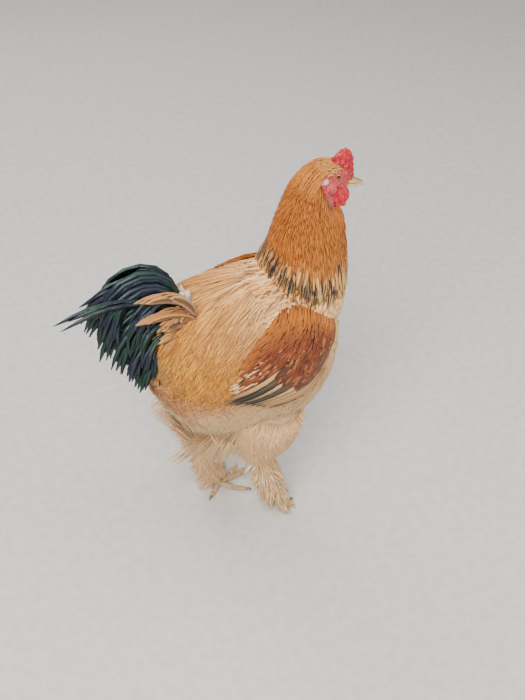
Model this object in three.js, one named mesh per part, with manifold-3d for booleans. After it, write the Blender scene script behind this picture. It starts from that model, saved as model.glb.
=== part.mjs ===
// A life-size standing Brahma cock, part-way through a step: the left foot is planted and the right foot comes forward.
// Millimetres, +Z up. The bird faces +X with its left side towards +Y, and its soles are at Z = 0.
import * as THREE from "three";
import { mergeVertices } from "three/addons/utils/BufferGeometryUtils.js";
import Module from "manifold-3d";

const wasm = await Module();
wasm.setup();
const { Manifold } = wasm;

// Driving dimensions
const GAP = 0.35; // kept between touching pieces
const BACK_HEIGHT = 478; // top of the back above the floor
const BODY_HALF_WIDTH = 98; // torso without the wings
const BREAST_FRONT = 132; // breast ahead of the mid-stance point
const RUMP_REAR = -176;

const BUFF = "#d9a56a";
const CREAM = "#e6c6a0";
const AMBER = "#c07422";
const BLACK_GREEN = "#1c2622";
const RED = "#c8303a";
const HORN = "#d8b878";

const at = (x, y, z) => new THREE.Vector3(x, y, z);
const RIGHT = -1;
const LEFT = 1;

// Solids

// Skin over a row of rings that all have the same number of points, each end closed by a fan to its centre.
function skin(rings) {
  const count = rings[0].length;
  const last = rings.length - 1;
  const positions = [];
  const index = [];
  rings.flat().forEach((p) => positions.push(p.x, p.y, p.z));
  for (const ring of [rings[0], rings[last]]) {
    const middle = ring.reduce((sum, p) => sum.add(p), at(0, 0, 0)).divideScalar(count);
    positions.push(middle.x, middle.y, middle.z);
  }
  const startHub = rings.length * count;
  const endHub = startHub + 1;
  for (let j = 0; j < count; j++) {
    const k = (j + 1) % count;
    for (let i = 0; i < last; i++) {
      const [a, b] = [i * count + j, i * count + k];
      const [c, d] = [b + count, a + count];
      // The lower half is split along the mirrored diagonal, so that both faces of a thin vane bend alike.
      if (j < count / 2) index.push(a, b, c, a, c, d);
      else index.push(a, b, d, b, c, d);
    }
    index.push(startHub, k, j);
    index.push(endHub, last * count + j, last * count + k);
  }
  const geometry = new THREE.BufferGeometry();
  geometry.setAttribute("position", new THREE.Float32BufferAttribute(positions, 3));
  return geometry.setIndex(index);
}

function solid(geometry) {
  const bare = new THREE.BufferGeometry();
  bare.setAttribute("position", geometry.getAttribute("position"));
  bare.setIndex(geometry.index);
  const merged = mergeVertices(bare, 1e-4);
  const made = new Manifold(
    new wasm.Mesh({
      numProp: 3,
      vertProperties: merged.attributes.position.array,
      triVerts: new Uint32Array(merged.index.array),
    }),
  );
  return made;
}

// The largest closed body of a solid.
function largest(made) {
  return made.decompose().sort((a, b) => b.volume() - a.volume())[0];
}

const join = (pieces) => Manifold.union(pieces);

// A rounded body along a smooth centre line. Each station is [centre, half width, back radius, front radius]:
// the width runs along `side`, and the back radius along the line's direction crossed with `side`.
function body(stations, { side = at(0, 1, 0), domes = [0.12, 0.12] } = {}) {
  const centres = new THREE.CatmullRomCurve3(stations.map((s) => s[0]), false, "catmullrom");
  const radii = new THREE.CatmullRomCurve3(stations.map((s) => at(s[1], s[2], s[3])), false, "catmullrom");
  const dome = (s) => {
    const near = Math.min(1, s / domes[0]);
    const far = Math.min(1, (1 - s) / domes[1]);
    return Math.sqrt(1 - (1 - near) ** 2) * Math.sqrt(1 - (1 - far) ** 2);
  };
  // Turn 0 is the +side flank, a quarter turn is the back radius, and three quarters the front radius.
  function point(s, turn, lift = 0) {
    const forward = centres.getTangent(s);
    const across = side.clone().addScaledVector(forward, -side.dot(forward)).normalize();
    const back = forward.clone().cross(across).normalize();
    const [c, d] = [Math.cos(turn), Math.sin(turn)];
    const size = radii.getPoint(s);
    const swell = dome(s);
    const depth = d > 0 ? size.y : size.z;
    return centres
      .getPoint(s)
      .addScaledVector(across, c * (size.x * swell + lift))
      .addScaledVector(back, d * (depth * swell + lift));
  }
  function mesh(steps, sides, lift = 0) {
    const rings = [];
    for (let i = 0; i <= steps; i++) {
      const even = i / steps;
      const bunched = (1 - Math.cos(Math.PI * even)) / 2; // more rings near the domed ends
      const s = THREE.MathUtils.clamp(0.5 * even + 0.5 * bunched, 0.002, 0.998);
      rings.push([...Array(sides).keys()].map((j) => point(s, (2 * Math.PI * j) / sides, lift)));
    }
    return skin(rings);
  }
  return {
    point,
    mesh,
    centre: (s) => centres.getPoint(s),
    section: (s) => ({ centre: centres.getPoint(s), size: radii.getPoint(s).multiplyScalar(dome(s)) }),
    solid: (steps, sides, lift = 0) => solid(mesh(steps, sides, lift)),
  };
}

// Seeded noise between -1 and 1
let seed = 20;
function noise() {
  seed = (seed * 16807) % 2147483647;
  return (2 * seed) / 2147483647 - 1;
}

// Flat tapered feather along `points`, square to `normals`. `widths` are full widths, one per point. `grow` swells it on
// every side, which makes the cutter for its neighbours, and `tilt` lifts one edge so that feathers lie like shingles.
function ribbon(points, normals, widths, thick, { grow = 0, tilt = 0 } = {}) {
  const last = points.length - 1;
  const rings = points.map((p, i) => {
    const forward = points[Math.min(i + 1, last)].clone().sub(points[Math.max(i - 1, 0)]).normalize();
    const level = normals[i].clone().cross(forward).normalize();
    const across = level.clone().applyAxisAngle(forward, tilt);
    const up = forward.clone().cross(across);
    const centre = p.clone().addScaledVector(forward, i === last ? grow : 0);
    const half = widths[i] / 2 + grow;
    const depth = (i === last ? thick * 0.7 : thick) / 2 + grow;
    return [[1, -1], [1, 1], [-1, 1], [-1, -1]].map(([a, b]) =>
      centre.clone().addScaledVector(across, a * half).addScaledVector(up, b * depth));
  });
  return solid(skin(rings));
}

// Forms

const LOCK_DEPTH = 5; // the neck's core lies this far inside the outline of its hackle
const THICK = 1.1; // of a feather

// Lock that lies on a form from one place to another, both [s, turn in degrees]. Its root is sunk into the core.
function lock(form, [s0, t0], [s1, t1], width, { lifts = [-8.5, -3, 0], grow = 0 } = {}) {
  const turnAt = (u) => THREE.MathUtils.degToRad(t0 + (t1 - t0) * u);
  const places = lifts.map((lift, i) => [s0 + (s1 - s0) * (i / (lifts.length - 1)), turnAt(i / (lifts.length - 1)), lift]);
  const points = places.map(([s, turn, lift]) => form.point(s, turn, lift));
  const normals = places.map(([s, turn]) => form.point(s, turn, 1).sub(form.point(s, turn, 0)));
  const shares = lifts.length === 3 ? [0.75, 1, 0.14] : [0.7, 1, 0.85, 0.12];
  return ribbon(points, normals, shares.map((share) => share * width), THICK, { grow, tilt: 0.1 });
}

const torsoForm = body([
  [at(RUMP_REAR, 0, 356), 56, 48, 68],
  [at(-138, 0, 364), 86, 76, 120],
  [at(-85, 0, 368), 97, 100, 150],
  [at(-25, 0, 366), BODY_HALF_WIDTH, BACK_HEIGHT - 366, 160],
  [at(35, 0, 366), 100, BACK_HEIGHT - 366, 156],
  [at(78, 0, 372), 86, 104, 120],
  [at(108, 0, 378), 66, 80, 76],
  [at(BREAST_FRONT, 0, 380), 44, 50, 46],
]);

// Point on the torso's side at a place of the side view, `lift` outside its surface.
function flank(x, z, hand, lift = 0) {
  let [low, high] = [0, 1];
  for (let i = 0; i < 24; i++) {
    const s = (low + high) / 2;
    if (torsoForm.centre(s).x < x) low = s;
    else high = s;
  }
  const { centre, size } = torsoForm.section(low);
  const rise = z - centre.z;
  const depth = (rise > 0 ? size.y : size.z) + lift;
  const share = THREE.MathUtils.clamp(rise / depth, -0.98, 0.98);
  return at(x, hand * (size.x + lift) * Math.sqrt(1 - share * share), z);
}

// Saddle hackle over the back and rump, both sides alike but for chance. Rows are [turn of roots, turn of tips, first s,
// last s, drift of s, number].
const SADDLE = [
  [80, 46, 0.6, 0.26, -0.09, 6],
  [56, 24, 0.44, 0.14, -0.06, 6],
  [32, 2, 0.28, 0.07, -0.035, 5],
  [6, -26, 0.27, 0.08, -0.03, 4],
];
const saddle = SADDLE.flatMap(([t0, t1, first, end, drift, count]) =>
  [LEFT, RIGHT].flatMap((hand) => [...Array(count).keys()].map((k) => {
    const s = first + ((end - first) * k) / (count - 1) + 0.01 * noise();
    const [a, b] = [t0 + 3 * noise(), t1 + 4 * noise()].map((t) => (hand > 0 ? t : 180 - t));
    return [[s, a], [Math.max(0.02, s + drift), b], 19 + 2 * noise()];
  })));
const saddleLocks = (grow = 0) => join(saddle.map(([a, b, width]) =>
  lock(torsoForm, a, b, width, { lifts: [-5, 1.5, 4], grow })));

const neckForm = body([
  [at(70, 0, 404), 84, 70, 66],
  [at(84, 0, 455), 76, 68, 60],
  [at(93, 0, 500), 60, 61, 54],
  [at(98, 0, 545), 46, 56, 46],
  [at(102, 0, 588), 34, 45, 34],
  [at(108, 0, 626), 24, 32, 16],
], { domes: [0.1, 0.16] });

// Hackle in tiers that hang from the top of the neck to its foot. Each entry is [s of the roots, s of the tips, number].
const HACKLE = [[0.95, 0.72, 7], [0.79, 0.5, 9], [0.59, 0.28, 10], [0.38, 0.06, 12]];
const hackle = HACKLE.flatMap(([s0, s1, count], tier) =>
  [...Array(count).keys()].map((k) => {
    const turn = ((k + (tier % 2) / 2) / count) * 360 + 4 * noise();
    return [[s0 + 0.012 * noise(), turn], [s1 + 0.02 * noise(), turn + 5 * noise()], 18 + 8 * (1 - s1) + noise()];
  }));
const neckCore = (lift = 0) => neckForm.solid(10, 14, lift - LOCK_DEPTH);
const neckSolid = (grow = 0) => join([neckCore(grow), ...hackle.map(([a, b, width]) => lock(neckForm, a, b, width, { grow }))]);

const HEAD_CENTRE = at(126, -2, 614);
const HEAD_YAW = THREE.MathUtils.degToRad(-10);
const HEAD_PITCH = THREE.MathUtils.degToRad(8); // beak down
const headFrame = new THREE.Matrix4()
  .makeRotationZ(HEAD_YAW)
  .multiply(new THREE.Matrix4().makeRotationY(HEAD_PITCH))
  .setPosition(HEAD_CENTRE);
const inHead = (x, y, z) => at(x, y, z).applyMatrix4(headFrame);
const headSide = at(0, 1, 0).transformDirection(headFrame);

const headForm = body([
  [inHead(-36, 0, -1), 15, 16, 18],
  [inHead(-20, 0, 3), 20, 20, 25],
  [inHead(-3, 0, 3), 19, 20, 24],
  [inHead(12, 0, 0), 15.5, 17, 18],
  [inHead(27, 0, -6), 10, 10, 10],
], { side: headSide, domes: [0.3, 0.14] });

// Rounded lump of the head, long along the head's own axes
function lump(x, y, z, [long, wide, tall], sides = 8, rings = 6, lift = 0) {
  return body([
    [inHead(x - long, y, z), wide, tall, tall],
    [inHead(x, y, z), wide, tall, tall],
    [inHead(x + long, y, z), wide, tall, tall],
  ], { side: headSide, domes: [0.5, 0.5] }).solid(rings, sides, lift);
}

const EYE = { x: 3, y: 15.5, z: 8, radius: 5 };

const upperBeak = body([
  [inHead(17, 0, -5), 8, 9, 6],
  [inHead(31, 0, -6), 7.5, 7.5, 4.5],
  [inHead(42, 0, -8.5), 5.4, 5.5, 3.5],
  [inHead(50, 0, -14.5), 1.8, 2.4, 1.4],
], { side: headSide, domes: [0.05, 0.1] });
const lowerBeak = body([
  [inHead(16, 0, -13), 7, 4, 5],
  [inHead(30, 0, -13.5), 5.8, 3, 3.4],
  [inHead(42, 0, -15), 3, 1.8, 1.8],
], { side: headSide, domes: [0.05, 0.15] });

// Pea comb: a tall middle ridge between two low ones, each a row of peas
function pea(x, y, z, size, lift) {
  return lump(x, y, z, [size * 0.8, size * 0.62, size], 6, 3, lift);
}
function combSolid(lift = 0) {
  const peas = [
    [-15, 21, 9], [-6, 28, 11], [4, 30, 11], [13, 23, 10], [20, 14, 8], [25, 7, 6.5],
  ].map(([x, z, size]) => pea(x, 0, z, size, lift));
  for (const hand of [RIGHT, LEFT]) {
    for (const [x, z, size] of [[-7, 20, 8], [5, 19, 8], [16, 11, 7]]) {
      peas.push(pea(x, hand * 6.5, z, size, lift));
    }
  }
  const ridge = body([
    [inHead(-15, 0, 15), 5.5, 10, 10],
    [inHead(0, 0, 19), 6, 16, 10],
    [inHead(14, 0, 12), 5.5, 13, 10],
    [inHead(26, 0, 2), 4, 7, 6],
  ], { side: headSide, domes: [0.3, 0.3] });
  return join([ridge.solid(6, 8, lift), ...peas]);
}

function wattleForm(hand) {
  return body([
    [inHead(19, hand * 6, -15), 4, 9, 9],
    [inHead(15, hand * 9, -26), 3.6, 13, 13],
    [inHead(12, hand * 10.5, -38), 3.2, 12.5, 12],
    [inHead(9, hand * 11, -47), 2.8, 8, 8],
  ], { side: headSide, domes: [0.2, 0.3] });
}

// Closed shell that hugs the torso's side. `edges(u)` gives its top and bottom at a share of its length, each as [x, z],
// and `lift(u, v)` how far its face stands out.
function sideShell(hand, edges, lift, steps, across) {
  const rings = [];
  for (let i = 0; i <= steps; i++) {
    const u = i / steps;
    const [top, low] = edges(u);
    const row = (out) => [...Array(across + 1).keys()].map((k) => {
      const v = k / across;
      const [x, z] = [top[0] + v * (low[0] - top[0]), top[1] + v * (low[1] - top[1])];
      return flank(x, z, hand, out(u, v));
    });
    const outer = row(lift);
    const inner = row(() => -4).reverse();
    const ring = [...outer, ...inner];
    rings.push(hand > 0 ? ring : ring.reverse());
  }
  return skin(rings);
}

const WING_FRONT = 100;
const WING_TIP = -88;
// Height of an edge at a share of the wing's length
const heights = (values) => {
  const line = new THREE.CatmullRomCurve3(values.map((z, i) => at(i, 0, z)));
  return (u) => line.getPoint(u).z;
};
const wingTop = heights([424, 450, 458, 450, 424, 384, 356]);
const wingLow = heights([396, 358, 330, 317, 318, 330, 342]);
function wingEdges(u) {
  const x = THREE.MathUtils.lerp(WING_FRONT, WING_TIP, u);
  return [[x, wingTop(u)], [x, wingLow(u)]];
}
// Height of the wing's face over the torso at a place of the side view
function wingLift(x, z) {
  const u = THREE.MathUtils.clamp((WING_FRONT - x) / (WING_FRONT - WING_TIP), 0, 1);
  const v = THREE.MathUtils.clamp((wingTop(u) - z) / (wingTop(u) - wingLow(u)), 0, 1);
  return 7 + 15 * Math.sin(Math.PI * Math.min(0.98, v * 0.8 + 0.04)) * Math.sin(Math.PI * Math.min(0.9, u * 0.8 + 0.14));
}

function wingCore(hand, lift = 0) {
  const face = (u, v) => {
    const [[x, top], [, low]] = wingEdges(u);
    return wingLift(x, top + v * (low - top)) - 3.5 + lift;
  };
  return solid(sideShell(hand, wingEdges, face, 9, 5));
}

// Wing feathers in tiers, each [root x, root z, tip x, tip z, width]: flights, then three tiers of coverts
const between = (a, b, share) => a.map((value, i) => value + (b[i] - value) * share);
const TIERS = [
  [[74, 356, -28, 313, 17], [6, 412, -96, 352, 19], 7],
  [[84, 372, 26, 340, 18], [22, 426, -50, 376, 19], 5],
  [[90, 390, 46, 362, 19], [48, 440, -10, 400, 20], 4],
  [[96, 408, 70, 382, 17], [72, 446, 30, 424, 18], 3],
];
const wingFeathers = TIERS.flatMap(([low, high, count]) =>
  [...Array(count).keys()].map((k) => between(low, high, k / (count - 1)).map((value) => value + noise())));

function wingVane(hand, [x0, z0, x1, z1, width], grow) {
  const lifts = [-7, -2.4, 0];
  const places = lifts.map((lift, i) => [x0 + (x1 - x0) * (i / 2), z0 + (z1 - z0) * (i / 2), lift]);
  const points = places.map(([x, z, lift]) => flank(x, z, hand, wingLift(x, z) + lift));
  const normals = places.map(([x, z]) => flank(x, z, hand, 9).sub(flank(x, z, hand, 0)));
  return ribbon(points, normals, [0.7, 1, 0.3].map((share) => share * width), THICK, { grow, tilt: hand * -0.12 });
}
const wingSolid = (hand, grow = 0) =>
  join([wingCore(hand, grow), ...wingFeathers.map((feather) => wingVane(hand, feather, grow))]);

const tailCore = body([
  [at(-112, 0, 428), 34, 34, 40],
  [at(-140, 0, 440), 32, 38, 44],
  [at(-168, 0, 446), 18, 24, 28],
], { domes: [0.1, 0.3] });

// Curved tail feather: it leaves its root at `launch` degrees above the way back, turns down by `bend` over the first
// part of its length, and spreads outwards.
function plume({ root, launch, bend, length, spread, width, settle = 0.85 }, grow = 0) {
  const steps = 24;
  const line = [at(...root)];
  for (let i = 0; i < steps; i++) {
    const t = (i + 0.5) / steps;
    const angle = THREE.MathUtils.degToRad(launch - bend * Math.min(1, t / settle));
    const way = at(-Math.cos(angle), spread / length, Math.sin(angle)).normalize();
    line.push(line[i].clone().addScaledVector(way, length / steps));
  }
  const count = bend > 120 ? 7 : bend > 60 ? 5 : 4;
  const picks = [...Array(count).keys()].map((k) => Math.round((steps * k) / (count - 1)));
  const points = picks.map((i) => line[i]);
  const normals = points.map(() => at(0, 1, 0));
  const widths = points.map((_, i) => width * [0.55, 1, 1, 0.12][Math.min(3, Math.floor((3.01 * i) / (count - 1)))]);
  return ribbon(points, normals, widths, THICK, { grow });
}

// Tail feathers of one side from the top down: inner main feathers, long sickles, and short coverts at the root.
// Each row holds its top, middle and lowest feather as [y, z of root, launch, bend, length, spread, width].
const TAIL_ROWS = [
  { count: 7, stages: [[3, 456, 90, 96, 136, 4, 30], [5, 436, 26, 50, 114, 6, 30], [7, 410, -30, 14, 92, 8, 28]] },
  { count: 7, stages: [[9, 464, 106, 186, 216, 12, 22], [12, 440, 36, 108, 146, 16, 22], [15, 412, -25, 30, 102, 20, 22]] },
  { count: 5, stages: [[20, 460, 104, 170, 136, 20, 18], [21, 438, 40, 110, 104, 20, 18], [22, 414, -20, 50, 82, 22, 18]] },
];
const plumes = TAIL_ROWS.flatMap(({ count, stages }) => [LEFT, RIGHT].flatMap((hand) =>
  [...Array(count).keys()].map((k) => {
    const share = (2 * k) / (count - 1);
    const [from, to] = share < 1 ? stages : stages.slice(1);
    const [y, z, launch, bend, length, spread, width] = between(from, to, share < 1 ? share : share - 1);
    return {
      root: [-122, hand * (y + 2 * (k % 2)), z],
      launch: launch + 3 * noise(),
      bend: bend + 4 * noise(),
      length: length * (1 + 0.04 * noise()),
      spread: hand * (spread + noise()),
      width,
    };
  })));
// Two long sickles reach out behind the rest.
plumes.push({ root: [-126, -18, 452], launch: 56, bend: 66, length: 204, spread: -20, width: 15, settle: 1 });
plumes.push({ root: [-126, 14, 454], launch: 62, bend: 84, length: 150, spread: 6, width: 15, settle: 1 });
const tailSolid = (grow = 0) => join([tailCore.solid(8, 14, grow), ...plumes.map((one) => plume(one, grow))]);

const HIP_HEIGHT = 262;
// Toes are [length, turn from the foot's heading towards its outer side, radius].
const legs = {
  left: {
    hand: LEFT,
    hip: at(-6, 52, HIP_HEIGHT),
    hock: at(-78, 43, 122),
    ankle: at(-52, 39, 15),
    heading: 14,
    toes: { inner: [52, -46, 5.6], middle: [70, 0, 6.4], outer: [54, 42, 5.6], hind: [26, -152, 5] },
    claw: [9, 0],
  },
  // In mid-step: this foot stands on the tips of its bunched toes.
  right: {
    hand: RIGHT,
    hip: at(10, -52, HIP_HEIGHT),
    hock: at(-12, -49, 150),
    ankle: at(24, -43, 42),
    heading: -2,
    toes: { inner: [22, -30, 5.6], middle: [28, 0, 6.4], outer: [22, 32, 5.6], hind: [10, -160, 5] },
    claw: [5, -8],
  },
};

function thighForm({ hip, hock }) {
  return body([
    [hip.clone(), 50, 64, 62],
    [hip.clone().lerp(hock, 0.55), 43, 46, 50],
    [hock.clone().add(at(0, 0, 16)), 27, 30, 29],
    [hock.clone().add(at(0, 0, -8)), 19, 20, 19],
  ], { domes: [0.1, 0.2] });
}

function shankForm({ hock, ankle }) {
  return body([
    [hock.clone().add(at(0, 0, 4)), 16, 17, 17],
    [hock.clone().lerp(ankle, 0.4), 17, 18, 18],
    [hock.clone().lerp(ankle, 0.8), 14, 15, 14],
    [ankle.clone(), 10, 11, 10],
  ], { domes: [0.15, 0.1] });
}

function toeLine(leg, toe) {
  const [length, turn, thick] = leg.toes[toe];
  const angle = THREE.MathUtils.degToRad(leg.heading + leg.hand * turn);
  const out = at(Math.cos(angle), Math.sin(angle), 0);
  const tip = leg.ankle.clone().addScaledVector(out, length).setZ(thick * 0.75 - 0.5);
  return { out, tip, thick };
}

// Toe with knuckles between its pads
function toeForm(leg, toe) {
  const { tip, thick } = toeLine(leg, toe);
  const stations = [1, 0.86, 0.98, 0.84, 0.92, 0.8].map((swell, i) => {
    const centre = leg.ankle.clone().lerp(tip, i / 5);
    centre.z = Math.max(tip.z, leg.ankle.z + (tip.z - leg.ankle.z) * Math.min(1, i / 5 * 1.7));
    return [centre, thick * swell, thick * swell, thick * swell];
  });
  return body(stations, { domes: [0.1, 0.12], side: at(0, 0, 1) });
}

function clawForm(leg, toe) {
  const { out, tip, thick } = toeLine(leg, toe);
  const [reach, drop] = leg.claw;
  const end = tip.clone().addScaledVector(out, reach).setZ(1.6);
  return body([
    [tip.clone().addScaledVector(out, -3), thick * 0.5, thick * 0.5, thick * 0.5],
    [tip.clone().addScaledVector(out, reach * 0.5).add(at(0, 0, drop < 0 ? 0 : 0.8)), thick * 0.42, thick * 0.42, thick * 0.42],
    [end, 0.9, 0.9, 0.9],
  ], { domes: [0.1, 0.15], side: at(0, 0, 1) });
}

// Feathers on the legs: each starts inside the leg and points the way it lies, [way out, length, width].
function spray(root, way, length, width, grow) {
  const line = [-0.12, 0.5, 1].map((t) =>
    root.clone().addScaledVector(way, length * t).add(at(0, 0, -0.16 * length * t * t)));
  const normal = way.clone().cross(at(0, 0, 1)).cross(way).normalize();
  return ribbon(line, line.map(() => normal), [0.7, 1, 0.14].map((share) => share * width), THICK, { grow });
}

function shankFeathers(leg, grow = 0) {
  const { hock, ankle, hand, heading } = leg;
  const way = (turn, rise) => {
    const angle = THREE.MathUtils.degToRad(heading + hand * turn);
    return at(Math.cos(angle), Math.sin(angle), rise).normalize();
  };
  const list = [];
  // Stiff quills that point back from the hock
  for (let k = 0; k < 4; k++) {
    const root = hock.clone().add(at(-10, 6 * (k - 1.5), -6 + 4 * (k % 3)));
    list.push([root, way(158 + 15 * k, 0.1 - 0.12 * (k % 3)), 58 + 6 * (k % 2), 14]);
  }
  // Two tiers down the outer side and the back of the shank
  for (let tier = 0; tier < 2; tier++) {
    for (let k = 0; k < 4; k++) {
      const root = hock.clone().lerp(ankle, 0.2 + 0.34 * tier + 0.03 * (k % 2));
      list.push([root, way(50 + 36 * k + 12 * (tier % 2), -0.9 + 0.1 * tier), 50, 20]);
    }
  }
  return join(list.map(([root, out, length, width]) => spray(root, out, length, width, grow)));
}

// Feathers along the outer toe and the outer edge of the middle toe
function toeFeathers(leg, grow = 0) {
  const list = [];
  for (const [toe, count] of [["outer", 2], ["middle", 2]]) {
    const { out, tip } = toeLine(leg, toe);
    const side = at(-out.y, out.x, 0).multiplyScalar(leg.hand);
    for (let k = 0; k < count; k++) {
      const root = leg.ankle.clone().lerp(tip, 0.36 + 0.3 * k).add(at(0, 0, 1));
      root.z = Math.max(root.z, 6);
      const way = out.clone().multiplyScalar(0.75 + 0.2 * k).add(side).add(at(0, 0, 0.12)).normalize();
      list.push(spray(root, way, leg.hand > 0 ? 36 - 3 * k : 20, 12, grow));
    }
  }
  return join(list);
}

const floorCut = (made) => made.trimByPlane([0, 0, 1], 0);
const aboveFloor = (made) => made.trimByPlane([0, 0, 1], 0.8);

const nodes = new Map();
const keep = (name, made, colour) => nodes.set(name, { made, colour });

const torsoCore = torsoForm.solid(13, 20);
const coreCutter = torsoForm.solid(13, 20, GAP);
const neckCutter = neckSolid(GAP);
const wingCutter = join([wingSolid(LEFT, GAP), wingSolid(RIGHT, GAP)]);
keep("torso", largest(torsoCore.add(saddleLocks().subtract(neckCutter).subtract(wingCutter))), BUFF);
const saddleCutter = saddleLocks(GAP);

// Head with eyelids round the eyes and a red fold below each ear lobe
function headSolid(lift = 0) {
  const pieces = [headForm.solid(9, 12, lift)];
  for (const hand of [RIGHT, LEFT]) {
    pieces.push(lump(EYE.x - 0.5, hand * (EYE.y - 0.8), EYE.z + 0.4, [8, 3.8, 6.8], 8, 6, lift));
    const fold = body([
      [inHead(-17, hand * 16, -4), 4, 5, 5],
      [inHead(-13, hand * 18, -14), 3.4, 6, 6],
      [inHead(-9, hand * 17, -26), 2.6, 4.5, 4.5],
    ], { side: headSide, domes: [0.3, 0.4] });
    pieces.push(fold.solid(5, 6, lift));
  }
  return join(pieces);
}
const eyeBall = (hand, lift = 0) => {
  const { x, y, z, radius } = EYE;
  return lump(x, hand * y, z, [radius, radius, radius], 9, 6, lift);
};
const headCutter = headSolid(GAP);
const beakCutter = join([upperBeak.solid(7, 10, GAP), lowerBeak.solid(6, 8, GAP)]);
const eyeCutter = join([eyeBall(RIGHT, GAP), eyeBall(LEFT, GAP)]);
const combCutter = combSolid(GAP);
const lobe = (hand, lift = 0) => lump(-19, hand * 19.5, 2, [6, 3.6, 8], 9, 6, lift);
keep("head", largest(headSolid().subtract(eyeCutter)), RED);
keep("neck", largest(neckSolid().subtract(coreCutter).subtract(headCutter)), AMBER);

// Nostril slots high on the upper beak
const nostrils = join([RIGHT, LEFT].map((hand) => lump(30, hand * 7, -3.5, [3, 1.6, 1.1], 6, 4)));
keep("beak_upper", largest(upperBeak.solid(7, 10).subtract(headCutter).subtract(nostrils)), HORN);
const lower = lowerBeak.solid(6, 8).subtract(headCutter).subtract(upperBeak.solid(7, 10, GAP));
keep("beak_lower", largest(lower), HORN);
keep("comb", largest(combSolid().subtract(headCutter).subtract(beakCutter).subtract(neckCutter)), RED);
for (const [side, hand] of [["left", LEFT], ["right", RIGHT]]) {
  keep("eye_" + side, eyeBall(hand), AMBER);
  const ear = lobe(hand).subtract(headCutter).subtract(neckCutter);
  keep("ear_lobe_" + side, largest(ear), CREAM);
  const wattle = wattleForm(hand).solid(8, 10).subtract(headCutter).subtract(beakCutter);
  keep("wattle_" + side, largest(wattle.subtract(neckCutter)), RED);
  keep("wing_" + side, largest(wingSolid(hand).subtract(coreCutter).subtract(neckCutter)), BUFF);
}
keep("tail", largest(tailSolid().subtract(coreCutter).subtract(saddleCutter)), BLACK_GREEN);

for (const [side, leg] of Object.entries(legs)) {
  keep("thigh_" + side, largest(thighForm(leg).solid(7, 14).subtract(coreCutter)), CREAM);
  const thighCutter = thighForm(leg).solid(7, 14, GAP);
  const shankCore = (lift) => shankForm(leg).solid(6, 10, lift);
  const names = Object.keys(leg.toes);
  const toes = (lift) => join(names.map((toe) => toeForm(leg, toe).solid(6, 6, lift)));
  const toeCutter = toes(GAP);
  const claws = names.map((toe) => [toe, floorCut(clawForm(leg, toe).solid(2, 5).subtract(toeCutter))]);
  const clawCutter = join(names.map((toe) => clawForm(leg, toe).solid(2, 5, GAP)));
  const sprays = aboveFloor(shankFeathers(leg)).subtract(toeCutter).subtract(clawCutter);
  keep("shank_" + side, largest(shankCore(0).add(sprays).subtract(thighCutter)), CREAM);
  const shankCutter = join([shankCore(GAP), shankFeathers(leg, GAP)]);
  const footSprays = aboveFloor(toeFeathers(leg)).subtract(shankCutter).subtract(clawCutter);
  keep("foot_" + side, largest(floorCut(toes(0).subtract(shankCore(GAP)).add(footSprays))), HORN);
  for (const [toe, claw] of claws) keep("claw_" + side + "_" + toe, largest(claw), HORN);
}

// The finished model stands with the middle of its bounding box over the origin.
const bounds = new THREE.Box3();
for (const { made } of nodes.values()) {
  const box = made.boundingBox();
  bounds.union(new THREE.Box3(at(...box.min), at(...box.max)));
}
const middle = bounds.getCenter(at(0, 0, 0));

const bird = new THREE.Group();
for (const [name, { made, colour }] of nodes) {
  const m = made.translate([-middle.x, -middle.y, -bounds.min.z]).getMesh();
  const geometry = new THREE.BufferGeometry();
  geometry.setAttribute("position", new THREE.BufferAttribute(m.vertProperties, 3));
  geometry.setIndex(new THREE.BufferAttribute(m.triVerts, 1));
  const mesh = new THREE.Mesh(geometry, new THREE.MeshStandardMaterial({ color: colour, roughness: 0.8 }));
  mesh.name = name;
  bird.add(mesh);
}
export default bird;
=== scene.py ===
"""Life-size Brahma cock part-way through a step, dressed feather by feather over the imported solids.

Lengths in the making of the bird are in millimetres in its own frame. Its origin is on the floor between the
feet, with +X the way it walks and +Y to its left. `place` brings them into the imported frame, in metres."""

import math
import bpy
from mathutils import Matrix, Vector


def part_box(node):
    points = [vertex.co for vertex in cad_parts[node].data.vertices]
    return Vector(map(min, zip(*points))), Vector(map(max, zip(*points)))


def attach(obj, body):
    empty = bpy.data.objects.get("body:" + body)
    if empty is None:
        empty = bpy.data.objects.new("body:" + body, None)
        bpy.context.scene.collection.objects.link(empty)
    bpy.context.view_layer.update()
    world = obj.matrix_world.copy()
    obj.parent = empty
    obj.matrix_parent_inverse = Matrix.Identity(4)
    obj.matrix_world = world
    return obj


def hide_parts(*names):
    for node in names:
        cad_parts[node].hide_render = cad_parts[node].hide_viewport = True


bl_info = {
    "name": "Brahma Cock",
    "version": (1, 0, 0),
    "blender": (4, 5, 0),
    "location": "View3D > Sidebar > Cock",
    "description": "Builds a feathered, life-size Brahma cock over its packed solids",
    "category": "Add Mesh",
}

import bmesh
import bpy
import numpy as np
from mathutils import Matrix, Vector

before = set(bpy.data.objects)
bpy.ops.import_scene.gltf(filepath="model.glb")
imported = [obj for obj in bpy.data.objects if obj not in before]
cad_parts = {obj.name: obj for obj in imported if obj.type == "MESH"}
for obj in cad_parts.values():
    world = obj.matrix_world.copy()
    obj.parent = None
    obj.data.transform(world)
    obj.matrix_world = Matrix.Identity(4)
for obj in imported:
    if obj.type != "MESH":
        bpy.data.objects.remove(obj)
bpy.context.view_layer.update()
BEAK_TIP = 173.5  # from the point between the feet to the tip of the beak, in the bird's own frame
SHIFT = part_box("beak_upper")[1][0] * 1000 - BEAK_TIP
LEFT, RIGHT = 1, -1


def place(points):
    """Points of the bird's own frame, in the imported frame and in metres."""
    return (np.asarray(points, float) + np.array([SHIFT, 0, 0])) * 0.001


# Forms


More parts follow.
